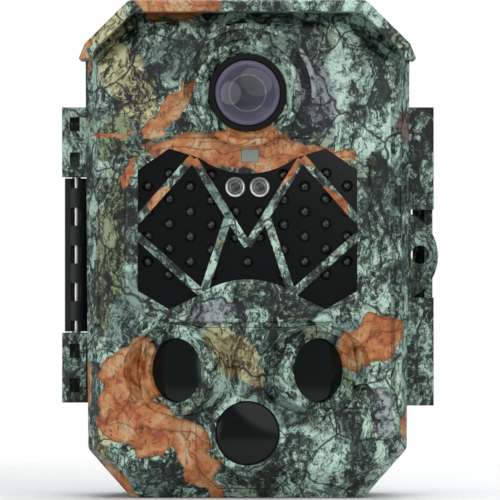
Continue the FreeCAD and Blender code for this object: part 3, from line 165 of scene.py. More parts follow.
def makeLeafGroup():
    numbers = ["CentreX", "CentreZ", "Angle", "HalfLength", "HalfWidth", "Lobes"]
    inputs = [("Vector", "NodeSocketVector")] + [(number, "NodeSocketFloat") for number in numbers]
    outputs = [("Room", "NodeSocketFloat"), ("Vein", "NodeSocketFloat")]
    tree, given, result = newGroup("leafShape", inputs, outputs)
    parts = newNode(tree, "ShaderNodeSeparateXYZ")
    plug(tree, given.outputs["Vector"], parts.inputs[0])
    x = calc(tree, "SUBTRACT", parts.outputs["X"], given.outputs["CentreX"])
    z = calc(tree, "SUBTRACT", parts.outputs["Z"], given.outputs["CentreZ"])
    cosine = calc(tree, "COSINE", given.outputs["Angle"])
    sine = calc(tree, "SINE", given.outputs["Angle"])
    forward = calc(tree, "ADD", calc(tree, "MULTIPLY", x, cosine), calc(tree, "MULTIPLY", z, sine))
    sideways = calc(tree, "SUBTRACT", calc(tree, "MULTIPLY", z, cosine), calc(tree, "MULTIPLY", x, sine))
    along = calc(tree, "DIVIDE", forward, given.outputs["HalfLength"])
    across = calc(tree, "DIVIDE", sideways, given.outputs["HalfWidth"])
    spread = calc(tree, "ABSOLUTE", across)
    widest = calc(tree, "SUBTRACT", 1.0, calc(tree, "POWER", calc(tree, "ABSOLUTE", along), 2.2))
    lobeWave = calc(tree, "SINE", calc(tree, "MULTIPLY", along, 9.0))
    wave = calc(tree, "MULTIPLY", lobeWave, given.outputs["Lobes"])
    room = calc(tree, "SUBTRACT", calc(tree, "ADD", widest, wave), spread)
    plug(tree, room, result.inputs["Room"])
    midrib = calc(tree, "SUBTRACT", 1.0, between(tree, spread, 0.015, 0.06))
    lean = calc(tree, "SUBTRACT", calc(tree, "MULTIPLY", along, 3.2), calc(tree, "MULTIPLY", spread, 1.1))
    saw = calc(tree, "ABSOLUTE", calc(tree, "SUBTRACT", calc(tree, "FRACT", lean), 0.5))
    sideVein = calc(tree, "SUBTRACT", 1.0, between(tree, saw, 0.01, 0.035))
    side = calc(tree, "MULTIPLY", sideVein, 0.5)
    veins = calc(tree, "MULTIPLY", calc(tree, "MAXIMUM", midrib, side), between(tree, room, 0.0, 0.1))
    plug(tree, veins, result.inputs["Vein"])
    return tree


leafShape = makeLeafGroup()

# centre x, centre z, angle in degrees, half length, half width, depth of the lobes
leafPlaces = {
    "underLens": (-1.0, 96.0, -3, 31, 5.4, 0.16),
    "lensFoot": (0.0, 99.0, 0, 13, 5.0, 0.0),
    "besideLens": (-22.0, 107.0, 50, 12, 2.9, 0.2),
    "stalk": (-38.0, 101.5, -3, 10, 0.7, 0.0),
    "oakTop": (-32.5, 31.0, 72, 15, 8.6, 0.2),
    "oakMiddle": (-28.0, 19.5, -12, 18, 6.8, 0.2),
    "oakFoot": (-13.5, 9.5, -58, 11, 4.4, 0.22),
    "rightPale": (33.5, 43.5, 26, 12, 6.6, 0.12),
    "hoodStrip": (-20.0, 137.5, -4, 14, 4.0, 0.2),
    "leftBorder": (-33.5, 90.0, 70, 5, 2.2, 0.2),
    "ribLeft": (-25.0, 82.0, 48, 6, 2.4, 0.1),
    "ribRight": (24.0, 82.6, -42, 6.5, 2.0, 0.1),
    "ribUpper": (11.5, 90.5, 55, 4.2, 2.4, 0.1),
    "hingeFoot": (-49.5, 33.0, 85, 7, 4.0, 0.1),
    "footCorner": (-39.0, 5.0, -50, 8, 3.4, 0.2),
    "hoodCorner": (-45.5, 123.0, 60, 3.6, 2.0, 0.1),
    "latchFoot": (46.0, 21.0, 60, 6, 2.6, 0.2),
}
# the same, then the kind of bark printed there in place of the lobes; the cream patch on the lower left
# crease is a painted highlight
barkPlaces = {
    "creamUpper": (-33.0, 116.0, -66, 15, 7.5, "cream"),
    "slateUpper": (-21.0, 122.0, 25, 10, 6.5, "slate"),
    "slateMiddle": (19.0, 113.0, -74, 15, 6.0, "plum"),
    "mintUpper": (32.5, 111.0, -66, 21, 8.5, "mint"),
    "mossUpper": (-37.0, 101.0, 60, 8, 4.5, "moss"),
    "mossSide": (-38.5, 66.0, 86, 24, 4.4, "moss"),
    "slateSide": (-34.0, 50.0, 70, 12, 5.0, "slate"),
    "plumCentre": (-8.0, 51.5, 12, 9, 3.6, "plum"),
    "oliveCentre": (-3.5, 40.0, -46, 12, 5.6, "olive"),
    "plumWedge": (29.5, 17.0, -62, 12, 3.4, "slate"),
    "blueFoot": (37.0, 24.0, -80, 9, 3.6, "plum"),
    "mintFoot": (18.0, 12.5, -20, 13, 8.0, "mint"),
    "slateFoot": (-27.0, 5.0, 5, 10, 3.6, "slate"),
    # painted highlight: cream bark laid along the left crease where it catches the light
    "creamCreaseHighlight": (-41.0, 15.0, 80, 10, 3.4, "cream"),
    "mintHood": (29.0, 134.5, -8, 19, 4.2, "mint"),
    "creamHood": (-39.0, 130.5, 45, 9, 3.0, "cream"),
    "plumLatch": (47.0, 104.5, 12, 7.5, 4.6, "plumBrown"),
    "slateLatch": (46.5, 88.0, 85, 9, 3.0, "slate"),
    "mintLatch": (46.5, 48.0, 80, 10, 4.0, "mint"),
    "slateHinge": (-49.0, 95.0, 85, 8, 4.0, "slate"),
}
# dark, middle and light ink of each kind of bark
barkInks = {
    "mosaic": ((6, 12, 10), (76, 99, 86), (178, 206, 190)),
    "cream": ((18, 18, 12), (130, 128, 92), (200, 198, 156)),
    "slate": ((6, 12, 12), (56, 76, 70), (124, 148, 140)),
    "mint": ((34, 52, 44), (142, 170, 156), (190, 218, 204)),
    "moss": ((4, 8, 5), (50, 62, 42), (132, 146, 112)),
    "plum": ((18, 24, 28), (92, 98, 100), (150, 160, 160)),
    "olive": ((74, 56, 34), (142, 136, 98), (182, 180, 140)),
    "plumBrown": ((44, 34, 32), (96, 76, 70), (142, 118, 106)),
}


def placeShape(tree, spot, numbers, lobes):
    shape = newNode(tree, "ShaderNodeGroup", node_tree=leafShape)
    plug(tree, spot, shape.inputs[0])
    x, z, angle, halfLength, halfWidth = numbers
    for index, value in enumerate((x, z, math.radians(angle), halfLength, halfWidth, lobes), start=1):
        shape.inputs[index].default_value = value
    return shape


def wrapRound(tree, spot):
    # the film is laid on from the front and drawn round the sides, so leaves spread as they go back
    parts = newNode(tree, "ShaderNodeSeparateXYZ")
    plug(tree, spot, parts.inputs[0])
    depth = calc(tree, "MAXIMUM", calc(tree, "ADD", parts.outputs["Y"], 44.0), 0.0)
    joined = newNode(tree, "ShaderNodeCombineXYZ")
    stretch = calc(tree, "ADD", 1.0, calc(tree, "MULTIPLY", depth, 0.018))
    plug(tree, calc(tree, "MULTIPLY", parts.outputs["X"], stretch), joined.inputs["X"])
    plug(tree, parts.outputs["Y"], joined.inputs["Y"])
    lift = calc(tree, "MULTIPLY", depth, 0.35)
    plug(tree, calc(tree, "ADD", parts.outputs["Z"], lift), joined.inputs["Z"])
    return joined.outputs[0]


def makeBarkPrint():
    outputs = [("Color", "NodeSocketColor"), ("Roughness", "NodeSocketFloat"), ("Height", "NodeSocketFloat")]
    tree, _, result = newGroup("barkPrint", [], outputs)
    place = newNode(tree, "ShaderNodeTexCoord")
    sized = newNode(tree, "ShaderNodeMapping")
    plug(tree, place.outputs["Object"], sized.inputs[0])
    sized.inputs["Scale"].default_value = (1000, 1000, 1000)
    spot = sized.outputs[0]
    drift = noise(tree, spot, 0.07, 3, 0.6)
    swept = moved(tree, spot, 14.0, drift.outputs["Color"])
    stretched = newNode(tree, "ShaderNodeMapping")
    plug(tree, swept, stretched.inputs[0])
    stretched.inputs["Rotation"].default_value = (0, math.radians(24), 0)
    stretched.inputs["Scale"].default_value = (1, 0.8, 0.5)
    grain = stretched.outputs[0]
    rough = noise(tree, spot, 0.55, 4, 0.65)
    jagged = moved(tree, grain, 3.0, rough.outputs["Color"])
    edgeWave = noise(tree, spot, 0.13, 2, 0.5)
    wavy = moved(tree, wrapRound(tree, spot), 7.5, edgeWave.outputs["Color"])
    bent = moved(tree, wavy, 0.9, rough.outputs["Color"])

    # ink density: broad light and shade, flaking plates and fine grain together
    broad = noise(tree, grain, 0.085, 3, 0.6, 0.6)
    plates = cells(tree, jagged, 0.30, "F1")
    plateTone = newNode(tree, "ShaderNodeSeparateColor")
    plug(tree, plates.outputs["Color"], plateTone.inputs[0])
    fleck = noise(tree, moved(tree, grain, 1.8, rough.outputs["Color"]), 0.9, 6, 0.74)
    fine = noise(tree, jagged, 2.4, 3, 0.7)
    density = calc(tree, "MULTIPLY", fleck.outputs[0], 1.9)
    for source, share in ((broad, 1.3), (fine, 0.75), (plateTone, 0.34)):
        density = calc(tree, "ADD", density, calc(tree, "MULTIPLY", source.outputs[0], share))
    density = calc(tree, "SUBTRACT", density, 1.66)

    def inked(kind):
        dark, middle, light = (paint(*ink) for ink in barkInks[kind])
        return ramp(tree, density, [(0.29, dark), (0.47, middle), (0.67, light)])

    # bark kinds: the mosaic runs everywhere, moss and slate drift through it, and the others have places
    bark = inked("mosaic")
    tones = {kind: inked(kind) for kind in barkInks if kind != "mosaic"}
    tint = noise(tree, swept, 0.05, 3, 0.55)
    bark = mixColors(tree, between(tree, tint.outputs[0], 0.54, 0.58), bark, tones["slate"])
    growth = noise(tree, swept, 0.09, 4, 0.65)
    mossy = calc(tree, "MULTIPLY", between(tree, growth.outputs[0], 0.56, 0.62), 0.8)
    bark = mixColors(tree, mossy, bark, tones["moss"])
    for x, z, angle, halfLength, halfWidth, kind in barkPlaces.values():
        patch = placeShape(tree, bent, (x, z, angle, halfLength, halfWidth), 0.0)
        bark = mixColors(tree, between(tree, patch.outputs["Room"], 0.0, 0.16), bark, tones[kind])

    # dark cracks: a net between the flakes where the bark is rough, and a few long ones
    edges = cells(tree, jagged, 0.42)
    scatter = noise(tree, swept, 0.16, 3, 0.6)
    crack = calc(tree, "SUBTRACT", 1.0, between(tree, edges.outputs["Distance"], 0.01, 0.11))
    crack = calc(tree, "MULTIPLY", crack, between(tree, scatter.outputs[0], 0.44, 0.58))
    longEdges = cells(tree, moved(tree, spot, 7.0, edgeWave.outputs["Color"]), 0.055)
    longCrack = calc(tree, "SUBTRACT", 1.0, between(tree, longEdges.outputs["Distance"], 0.004, 0.026))
    bark = mixColors(tree, calc(tree, "MULTIPLY", crack, 0.9), bark, paint(6, 10, 8))
    bark = mixColors(tree, calc(tree, "MULTIPLY", longCrack, 0.9), bark, paint(14, 18, 16))

    # leaves on top, melted into one outline
    room, vein = None, None
    for *numbers, lobes in leafPlaces.values():
        leaf = placeShape(tree, bent, numbers, lobes)
        if room is None:
            room, vein = leaf.outputs
        else:
            room = calc(tree, "SMOOTH_MAX", room, leaf.outputs["Room"], 0.25)
            vein = calc(tree, "MAXIMUM", vein, leaf.outputs["Vein"])
    mask = between(tree, room, 0.0, 0.04)
    rim = calc(tree, "SUBTRACT", 1.0, between(tree, room, 0.05, 0.22))
    blotch = noise(tree, swept, 0.16, 6, 0.66)
    leafColor = ramp(tree, blotch.outputs[0], [
        (0.30, paint(116, 60, 32)), (0.42, paint(170, 98, 52)),
        (0.52, paint(186, 128, 80)), (0.62, paint(194, 162, 124))])
    speckle = calc(tree, "MULTIPLY", between(tree, fleck.outputs[0], 0.49, 0.38), 0.75)
    leafColor = mixColors(tree, speckle, leafColor, paint(58, 28, 16))
    leafColor = mixColors(tree, calc(tree, "MULTIPLY", vein, 0.62), leafColor, paint(96, 30, 24))
    leafColor = mixColors(tree, calc(tree, "MULTIPLY", rim, 0.5), leafColor, paint(78, 42, 26))
    plug(tree, mixColors(tree, mask, bark, leafColor), result.inputs["Color"])
    sheen = calc(tree, "MULTIPLY", fleck.outputs[0], 0.2)
    plug(tree, calc(tree, "ADD", 0.30, sheen), result.inputs["Roughness"])
    plug(tree, fleck.outputs[0], result.inputs["Height"])
    return tree


def makeGrainGroup():
    # moulded plastic: a fine spark-eroded texture and slight unevenness
    tree, given, result = newGroup("mouldedGrain", [("Size", "NodeSocketFloat")], [
        ("Height", "NodeSocketFloat"), ("Unevenness", "NodeSocketFloat")])
    place = newNode(tree, "ShaderNodeTexCoord")
    fine = newNode(tree, "ShaderNodeTexNoise")
    plug(tree, place.outputs["Object"], fine.inputs["Vector"])
    plug(tree, given.outputs["Size"], fine.inputs["Scale"])
    fine.inputs["Detail"].default_value = 3
    broad = noise(tree, place.outputs["Object"], 60, 3, 0.6)
    plug(tree, fine.outputs[0], result.inputs["Height"])
    plug(tree, broad.outputs[0], result.inputs["Unevenness"])
    return tree


barkPrint = makeBarkPrint()
mouldedGrain = makeGrainGroup()
print("shader groups ready")


def newMaterial(name, **values):
    material = bpy.data.materials.new(name)
    material.use_nodes = True
    shader = material.node_tree.nodes["Principled BSDF"]
    for label, value in values.items():
        shader.inputs[label.replace("_", " ")].default_value = value
    return material, material.node_tree, shader


def makeCamo():
    material, tree, shader = newMaterial("camoPrint", Coat_Weight=0.12, Coat_Roughness=0.2,
                                         Specular_IOR_Level=0.3)
    printed = newNode(tree, "ShaderNodeGroup", node_tree=barkPrint)
    plug(tree, printed.outputs["Color"], shader.inputs["Base Color"])
    plug(tree, printed.outputs["Roughness"], shader.inputs["Roughness"])
    addBump(tree, shader, printed.outputs["Height"], 0.00008, 0.25)
    return material


def makePlastic(name, dark, light, roughness, spread=0.12, grainSize=2600, depth=0.00004, **values):
    material, tree, shader = newMaterial(name, **values)
    grain = newNode(tree, "ShaderNodeGroup", node_tree=mouldedGrain)
    grain.inputs["Size"].default_value = grainSize
    unevenness = grain.outputs["Unevenness"]
    plug(tree, mixColors(tree, unevenness, dark, light), shader.inputs["Base Color"])
    play = calc(tree, "MULTIPLY", unevenness, spread)
    plug(tree, calc(tree, "ADD", roughness - spread / 2, play), shader.inputs["Roughness"])
    addBump(tree, shader, grain.outputs["Height"], depth, 0.3)
    return material


def makeTurnedMetal(name, dark, light, roughness):
    # fine lines left by the lathe, running round and along the piece
    material, tree, shader = newMaterial(name, Metallic=1.0)
    place = newNode(tree, "ShaderNodeTexCoord")
    stretch = newNode(tree, "ShaderNodeMapping")
    plug(tree, place.outputs["Object"], stretch.inputs[0])
    stretch.inputs["Scale"].default_value = (400, 400, 6000)
    lines = noise(tree, stretch.outputs[0], 1.0, 2, 0.5)
    plug(tree, mixColors(tree, lines.outputs[0], dark, light), shader.inputs["Base Color"])
    play = calc(tree, "MULTIPLY", lines.outputs[0], 0.16)
    plug(tree, calc(tree, "ADD", roughness - 0.08, play), shader.inputs["Roughness"])
    return material


# the optical axis and the radius of the front glass, in millimetres
lensPlaces = {"axisZ": 112.6, "radius": 9.0}


def radiusFrom(tree, spot, x, z):
    # distance from an axis along Y, in millimetres
    parts = newNode(tree, "ShaderNodeSeparateXYZ")
    plug(tree, spot, parts.inputs[0])
    across = calc(tree, "SUBTRACT", calc(tree, "MULTIPLY", parts.outputs["X"], 1000), x)
    up = calc(tree, "SUBTRACT", calc(tree, "MULTIPLY", parts.outputs["Z"], 1000), z)
    flat = newNode(tree, "ShaderNodeCombineXYZ")
    plug(tree, across, flat.inputs["X"])
    plug(tree, up, flat.inputs["Z"])
    length = newNode(tree, "ShaderNodeVectorMath", operation="LENGTH")
    plug(tree, flat.outputs[0], length.inputs[0])
    return length.outputs["Value"]


def makeLensGlassPaintedReflection():
    # the violet is a painted reflection of the coated glass: a little violet haze in the middle and more of
    # it, paler, towards the rim, painted into the colour and the alpha
    material, tree, shader = newMaterial("lensGlassPaintedReflection", Coat_Weight=1.0, Coat_Roughness=0.015, IOR=1.6)
    place = newNode(tree, "ShaderNodeTexCoord")
    radius = radiusFrom(tree, place.outputs["Object"], 0.0, lensPlaces["axisZ"])
    share = calc(tree, "DIVIDE", radius, lensPlaces["radius"])
    cloud = noise(tree, place.outputs["Object"], 160, 2, 0.5)
    # painted reflection: violet colour standing in for what the coated glass reflects, palest at the rim
    tone = ramp(tree, calc(tree, "ADD", share, calc(tree, "MULTIPLY", cloud.outputs[0], 0.12)), [
        (0.10, paint(40, 44, 54)), (0.60, paint(62, 62, 84)),
        (0.88, paint(78, 72, 104)), (1.0, paint(142, 134, 162))])
    plug(tree, tone, shader.inputs["Base Color"])
    plug(tree, calc(tree, "MULTIPLY", cloud.outputs[0], 0.05), shader.inputs["Roughness"])
    # alpha sets how thickly the painted reflection covers the glass, thicker towards the rim
    paintedReflectionStops = ((0.0, 0.24), (0.5, 0.32), (0.85, 0.5), (1.0, 0.72))
    paintedReflectionVeil = ramp(tree, share, [(place, (amount,) * 3) for place, amount in paintedReflectionStops])
    plug(tree, paintedReflectionVeil, shader.inputs["Alpha"])
    return material


def makeBarrelRings():
    # fine machined rings round the optical axis, dark, with paler ring edges painted on as highlights
    material, tree, shader = newMaterial("barrelRings", Metallic=0.35)
    place = newNode(tree, "ShaderNodeTexCoord")
    radius = radiusFrom(tree, place.outputs["Object"], 0.0, lensPlaces["axisZ"])
    turns = calc(tree, "FRACT", calc(tree, "MULTIPLY", radius, 1.7))
    ringEdgeHighlight = between(tree, calc(tree, "ABSOLUTE", calc(tree, "SUBTRACT", turns, 0.5)), 0.40, 0.49)
    speck = noise(tree, place.outputs["Object"], 2200, 3, 0.6)
    dark = mixColors(tree, speck.outputs[0], paint(26, 26, 38), paint(46, 46, 62))
    # painted highlight: the ring edges made paler where they would catch the light
    tone = mixColors(tree, calc(tree, "MULTIPLY", ringEdgeHighlight, 0.55), dark, paint(138, 138, 160))
    plug(tree, tone, shader.inputs["Base Color"])
    play = calc(tree, "MULTIPLY", speck.outputs[0], 0.2)
    plug(tree, calc(tree, "ADD", 0.25, play), shader.inputs["Roughness"])
    addBump(tree, shader, ringEdgeHighlight, 0.0001)
    return material


def makeGlass(name, color, roughness):
    material, tree, shader = newMaterial(name, Transmission_Weight=1.0, IOR=1.5)
    place = newNode(tree, "ShaderNodeTexCoord")
    haze = noise(tree, place.outputs["Object"], 900, 3, 0.6)
    paler = tuple(min(1, c * 1.04) for c in color[:3]) + (1,)
    plug(tree, mixColors(tree, haze.outputs[0], color, paler), shader.inputs["Base Color"])
    plug(tree, calc(tree, "MULTIPLY", haze.outputs[0], roughness), shader.inputs["Roughness"])
    return material


camo = makeCamo()
blackPlastic = makePlastic("blackPlastic", paint(14, 17, 16), paint(28, 32, 30), 0.45,
                           Specular_IOR_Level=0.3)
blackGloss = makePlastic("blackGloss", paint(3, 4, 4), paint(7, 8, 8), 0.09, 0.04, 900, 0.000004,
                         Specular_IOR_Level=0.3)
sensorWindow = makePlastic("sensorWindow", paint(4, 10, 8), paint(8, 18, 14), 0.1, 0.04, 700, 0.000004,
                           Specular_IOR_Level=0.25)
steel = makeTurnedMetal("pinSteel", paint(150, 150, 146), paint(214, 214, 208), 0.3)
brass = makeTurnedMetal("turnedBrass", paint(168, 128, 62), paint(222, 184, 108), 0.32)
nickel = makeTurnedMetal("nickelStrip", paint(176, 174, 166), paint(226, 224, 216), 0.26)
lensGlass = makeLensGlassPaintedReflection()
barrelRings = makeBarrelRings()
reflector = makePlastic("silveredCup", paint(150, 152, 150), paint(206, 208, 206), 0.2, 0.1, 800, 0.00001,
                        Metallic=0.9)
filterGlass = makeGlass("filterGlass", (0.55, 0.85, 0.85, 1), 0.02)
smokedResin = makePlastic("smokedResin", paint(14, 15, 16), paint(26, 27, 28), 0.06, 0.02, 600, 0.000002)
clearResin = makeGlass("clearResin", (0.93, 0.95, 0.95, 1), 0.03)
boardGreen = makePlastic("boardGreen", paint(10, 62, 34), paint(20, 84, 48), 0.35, 0.1, 500, 0.00002)
screenBlack = makePlastic("screenBlack", paint(16, 19, 24), paint(24, 28, 34), 0.08, 0.03, 500, 0.000002)
keyGrey = makePlastic("keyGrey", paint(66, 70, 70), paint(84, 88, 87), 0.42)
softRubber = makePlastic("softRubber", paint(18, 18, 18), paint(30, 30, 29), 0.7, 0.1, 1800, 0.00006)
windowGrey = makePlastic("windowGrey", paint(118, 126, 118), paint(142, 150, 140), 0.3, 0.08, 900, 0.00001)
cellSleeve = makePlastic("cellSleeve", paint(36, 76, 60), paint(50, 96, 76), 0.3, 0.1, 300, 0.00001)
matteBlack = makePlastic("matteBlack", paint(5, 5, 6), paint(10, 10, 11), 0.4, Specular_IOR_Level=0.15)
cardBlack = makePlastic("cardBlack", paint(22, 22, 24), paint(32, 32, 35), 0.45)


def named(start):
    return [name for name in cadNodes if name.startswith(start)]


def assign(material, *names):
    for name in names:
        data = cadNodes[name].data
        data.materials.clear()
        data.materials.append(material)


assign(camo, "front_housing", "rear_housing", "latch_lever", "sensor_plate")
assign(blackPlastic, "hinge_barrel", "inner_cover", "battery_tray", "filter_guide",
       "iris_ring", "speaker", "microphone", "power_inlet")
assign(blackGloss, "flash_panel")
assign(matteBlack, "lens_retainer")
assign(barrelRings, "lens_barrel")
assign(sensorWindow, *named("motion_window"))
assign(steel, "hinge_pin", "latch_pin", "cover_screws", *named("motion_sensor"))
assign(brass, "tripod_insert")
assign(nickel, "contact_springs", "contact_plates", "inlet_contact", "card_socket", "data_port")
assign(lensGlass, "lens_glass", "lens_inner")
assign(filterGlass, "infrared_filter")
assign(smokedResin, "infrared_leds")
assign(clearResin, "indicator_leds")
assign(boardGreen, "led_board", "sensor_board", "main_board", "camera_board")
assign(screenBlack, "screen", "image_sensor")
assign(keyGrey, "mode_switch", *named("key_"))
assign(softRubber, "seal_gasket", "inlet_plug")
assign(windowGrey, "light_sensor")
assign(cellSleeve, *named("cell_"))
assign(cardBlack, "memory_card")
print("materials assigned")


# new pieces: everything below is modelled in metres in the case's own frame

def startPiece():
    if bpy.context.object and bpy.context.object.mode != "OBJECT":
        bpy.ops.object.mode_set(mode="OBJECT")
    bpy.ops.object.select_all(action="DESELECT")


def cleanMesh(piece):
    startPiece()
    piece.select_set(True)
    bpy.context.view_layer.objects.active = piece
    bpy.ops.object.mode_set(mode="EDIT")
    bpy.ops.mesh.select_all(action="SELECT")
    bpy.ops.mesh.remove_doubles(threshold=0.000002)
    bpy.ops.mesh.normals_make_consistent(inside=False)
    bpy.ops.object.mode_set(mode="OBJECT")


def finishPiece(piece, name, material, body, smoothAngle=30):
    cleanMesh(piece)
    bpy.ops.object.transform_apply(location=True, rotation=True, scale=True)
    bpy.ops.object.shade_smooth_by_angle(angle=math.radians(smoothAngle))
    piece.name = name
    piece.data.materials.clear()
    piece.data.materials.append(material)
    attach(piece, body)
    return piece


def turnPiece(profile, x, z, vertices=64, axis="Y"):
    # a closed ring of steps round an axis: profile holds (radius, place along the axis), in millimetres
    startPiece()
    radius, start = profile[0]
    turn = (math.radians(90), 0, 0) if axis == "Y" else (0, 0, 0)
    centre = [x, start, z] if axis == "Y" else [x, z, start]
    bpy.ops.mesh.primitive_circle_add(vertices=vertices, radius=radius * millimetre, rotation=turn,
                                      location=[c * millimetre for c in centre])
    piece = bpy.context.object
    bpy.ops.object.mode_set(mode="EDIT")
    bpy.ops.mesh.select_all(action="SELECT")
    step = 1 if axis == "Y" else 2
    for nextRadius, along in profile[1:] + profile[:1]:
        move = [0, 0, 0]
        move[step] = (along - centre[step]) * millimetre
        centre[step] = along
        bpy.ops.mesh.extrude_region_move(TRANSFORM_OT_translate={"value": move})
        grow = nextRadius / radius
        bpy.ops.transform.resize(value=(grow, grow, grow), center_override=[c * millimetre for c in centre])
        radius = nextRadius
    bpy.ops.object.mode_set(mode="OBJECT")
    bpy.ops.object.transform_apply(location=True, rotation=True, scale=True)
    return piece


def domeProfile(radius, rise, rim, thick, steps=14):
    # the half section of a round window: a spherical front, a flat back and a thin edge
    curve = (radius ** 2 + rise ** 2) / (2 * rise)
    widest = math.asin(radius / curve)
    pole = 0.02
    front = []
    for step in range(1, steps + 1):
        angle = widest * (1 - step / steps)
        front.append((curve * math.sin(angle) + pole, rim - rise + curve - curve * math.cos(angle)))
    return [(pole, rim + thick), (radius, rim + thick), (radius, rim)] + front


def joinPieces(parts):
    startPiece()
    for part in parts:
        part.select_set(True)
    bpy.context.view_layer.objects.active = parts[0]
    bpy.ops.object.join()
    return bpy.context.object


def copyPiece(piece, matrix):
    double = piece.copy()
    double.data = piece.data.copy()
    bpy.context.scene.collection.objects.link(double)
    double.data.transform(matrix)
    return double


# the front glass and the three sensor windows, as true domes
frontGlass = {"radius": 8.98, "rise": 3.0, "rim": -46.6, "thick": 1.6}
sensorWindows = {"radius": 8.93, "rise": 0.6, "thick": 1.5, "turn": 36.5, "places": {
    "left": (-19.3, -47.0, 35.5, -1), "right": (19.3, -47.0, 35.5, 1), "middle": (0.0, -47.2, 18.05, 0)}}


def makeFrontGlass():
    profile = domeProfile(frontGlass["radius"], frontGlass["rise"], frontGlass["rim"], frontGlass["thick"])
    glass = turnPiece(profile, 0.0, lensPlaces["axisZ"], 96)
    finishPiece(glass, "frontGlass", lensGlass, "front")
    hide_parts("lens_glass")


def makeSensorWindows():
    profile = domeProfile(sensorWindows["radius"], sensorWindows["rise"], 0.0, sensorWindows["thick"])
    for word, (x, y, z, side) in sensorWindows["places"].items():
        window = turnPiece(profile, 0.0, 0.0, 80)
        turn = Matrix.Rotation(math.radians(side * sensorWindows["turn"]), 4, "Z")
        window.data.transform(Matrix.Translation(Vector((x, y, z)) * millimetre) @ turn)
        finishPiece(window, "sensorDome_" + word, sensorWindow, "front")
        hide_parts("motion_window_" + word)


# the rings seen through the front lens: a pale retaining ring, then dark steps going back to the iris
lensRings = {"steps": [(5.55, -44.7), (5.2, -44.7), (5.0, -44.6), (4.75, -44.6), (4.75, -43.9), (4.2, -43.9),
                       (4.2, -43.2), (3.5, -43.2), (3.5, -42.5), (2.8, -42.5), (2.8, -41.9), (2.2, -41.9),
                       (2.2, -41.4), (5.4, -41.4)],
             "brightRing": [(5.5, -44.72), (5.3, -44.95), (4.9, -44.95), (4.8, -44.72)]}


def makeLensRings():
    steps = turnPiece(lensRings["steps"], 0.0, lensPlaces["axisZ"], 96)
    finishPiece(steps, "irisSteps", barrelRings, "front")
    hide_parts("iris_ring")
    bright = turnPiece(lensRings["brightRing"], 0.0, lensPlaces["axisZ"], 96)
    finishPiece(bright, "retainingRing", reflector, "front")


# conical contact coils at the sprung end of each cell
contactCoil = {"wire": 0.32, "wide": 4.3, "narrow": 2.9, "turns": 3, "height": 2.0, "steps": 28, "gap": 0.1}
cellPlaces = {"pitch": 16.0, "rowPitch": 56.5, "low": 15.2, "length": 49.2, "y": -1.5,
              "columns": 4, "rows": 2}


def makeContactCoils():
    startPiece()
    wire = contactCoil["wire"] * millimetre
    bpy.ops.mesh.primitive_circle_add(vertices=8, radius=wire, rotation=(math.radians(90), 0, 0),
                                      location=(contactCoil["wide"] * millimetre, 0, wire))
    coil = bpy.context.object
    bpy.ops.object.transform_apply(location=True, rotation=True, scale=True)
    winding = coil.modifiers.new("winding", "SCREW")
    winding.steps = contactCoil["steps"]
    winding.render_steps = contactCoil["steps"]
    winding.iterations = contactCoil["turns"]
    winding.screw_offset = (contactCoil["height"] * millimetre - 2 * wire) / contactCoil["turns"]
    bpy.ops.object.modifier_apply(modifier="winding")
    narrowing = coil.modifiers.new("narrowing", "SIMPLE_DEFORM")
    narrowing.deform_method = "TAPER"
    narrowing.deform_axis = "Z"
    narrowing.factor = contactCoil["narrow"] / contactCoil["wide"] - 1
    bpy.ops.object.modifier_apply(modifier="narrowing")
    bpy.ops.object.mode_set(mode="EDIT")
    bpy.ops.mesh.select_all(action="DESELECT")
    bpy.ops.mesh.select_mode(type="EDGE")
    bpy.ops.mesh.select_non_manifold()
    bpy.ops.mesh.edge_face_add()
    bpy.ops.object.mode_set(mode="OBJECT")
    copies = []
    for row in range(cellPlaces["rows"]):
        for column in range(cellPlaces["columns"]):
            x = (column - (cellPlaces["columns"] - 1) / 2) * cellPlaces["pitch"]
            low = cellPlaces["low"] + row * cellPlaces["rowPitch"]
            reach = contactCoil["height"] + contactCoil["gap"]
            z = low - reach
            turn = Matrix.Identity(4)
            if column % 2:
                z = low + cellPlaces["length"] + reach
                turn = Matrix.Rotation(math.pi, 4, "X")
            place = Matrix.Translation(Vector((x, cellPlaces["y"], z)) * millimetre)
            copies.append(copyPiece(coil, place @ turn))
    bpy.data.objects.remove(coil)
    coils = joinPieces(copies)
    finishPiece(coils, "contactCoils", nickel, "case", 60)
    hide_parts("contact_springs")


# pan-head screws with a cross recess
coverScrew = {"profile": [(2.15, -15.1), (2.2, -14.75), (2.0, -14.35), (1.5, -14.02), (0.7, -13.92),
                          (0.04, -13.9), (0.04, -15.1)],
              "slotSize": (2.3, 1.5, 0.55), "slotY": -13.825, "slotTurns": (0.5, 2.07),
              "x": 37.5, "heights": (18, 80, 118)}


def makeCoverScrews():
    head = turnPiece(coverScrew["profile"], 0.0, 0.0, 40)
    cutters = []
    for lean in coverScrew["slotTurns"]:
        startPiece()
        bpy.ops.mesh.primitive_cube_add(size=millimetre, rotation=(0, lean, 0), scale=coverScrew["slotSize"],
                                        location=(0, coverScrew["slotY"] * millimetre, 0))
        cutters.append(bpy.context.object)
    cutter = joinPieces(cutters)
    cleanMesh(head)
    recess = head.modifiers.new("recess", "BOOLEAN")
    recess.operation = "DIFFERENCE"
    recess.object = cutter
    recess.use_self = True
    bpy.ops.object.modifier_apply(modifier="recess")
    bpy.data.objects.remove(cutter)
    copies = [copyPiece(head, Matrix.Translation(Vector((side * coverScrew["x"], 0, height)) * millimetre))
              for side in (-1, 1) for height in coverScrew["heights"]]
    bpy.data.objects.remove(head)
    screws = joinPieces(copies)
    finishPiece(screws, "panHeadScrews", steel, "front")
    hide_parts("cover_screws")


# brass insert with its thread seen as a run of ridges
threadedInsert = {"outer": 3.94, "crest": 2.6, "root": 2.95, "pitch": 1.27, "length": 8.9, "chamfer": 0.5,
                  "foot": 0.02, "firstRidge": 0.6, "rise": 0.45, "land": 0.6}


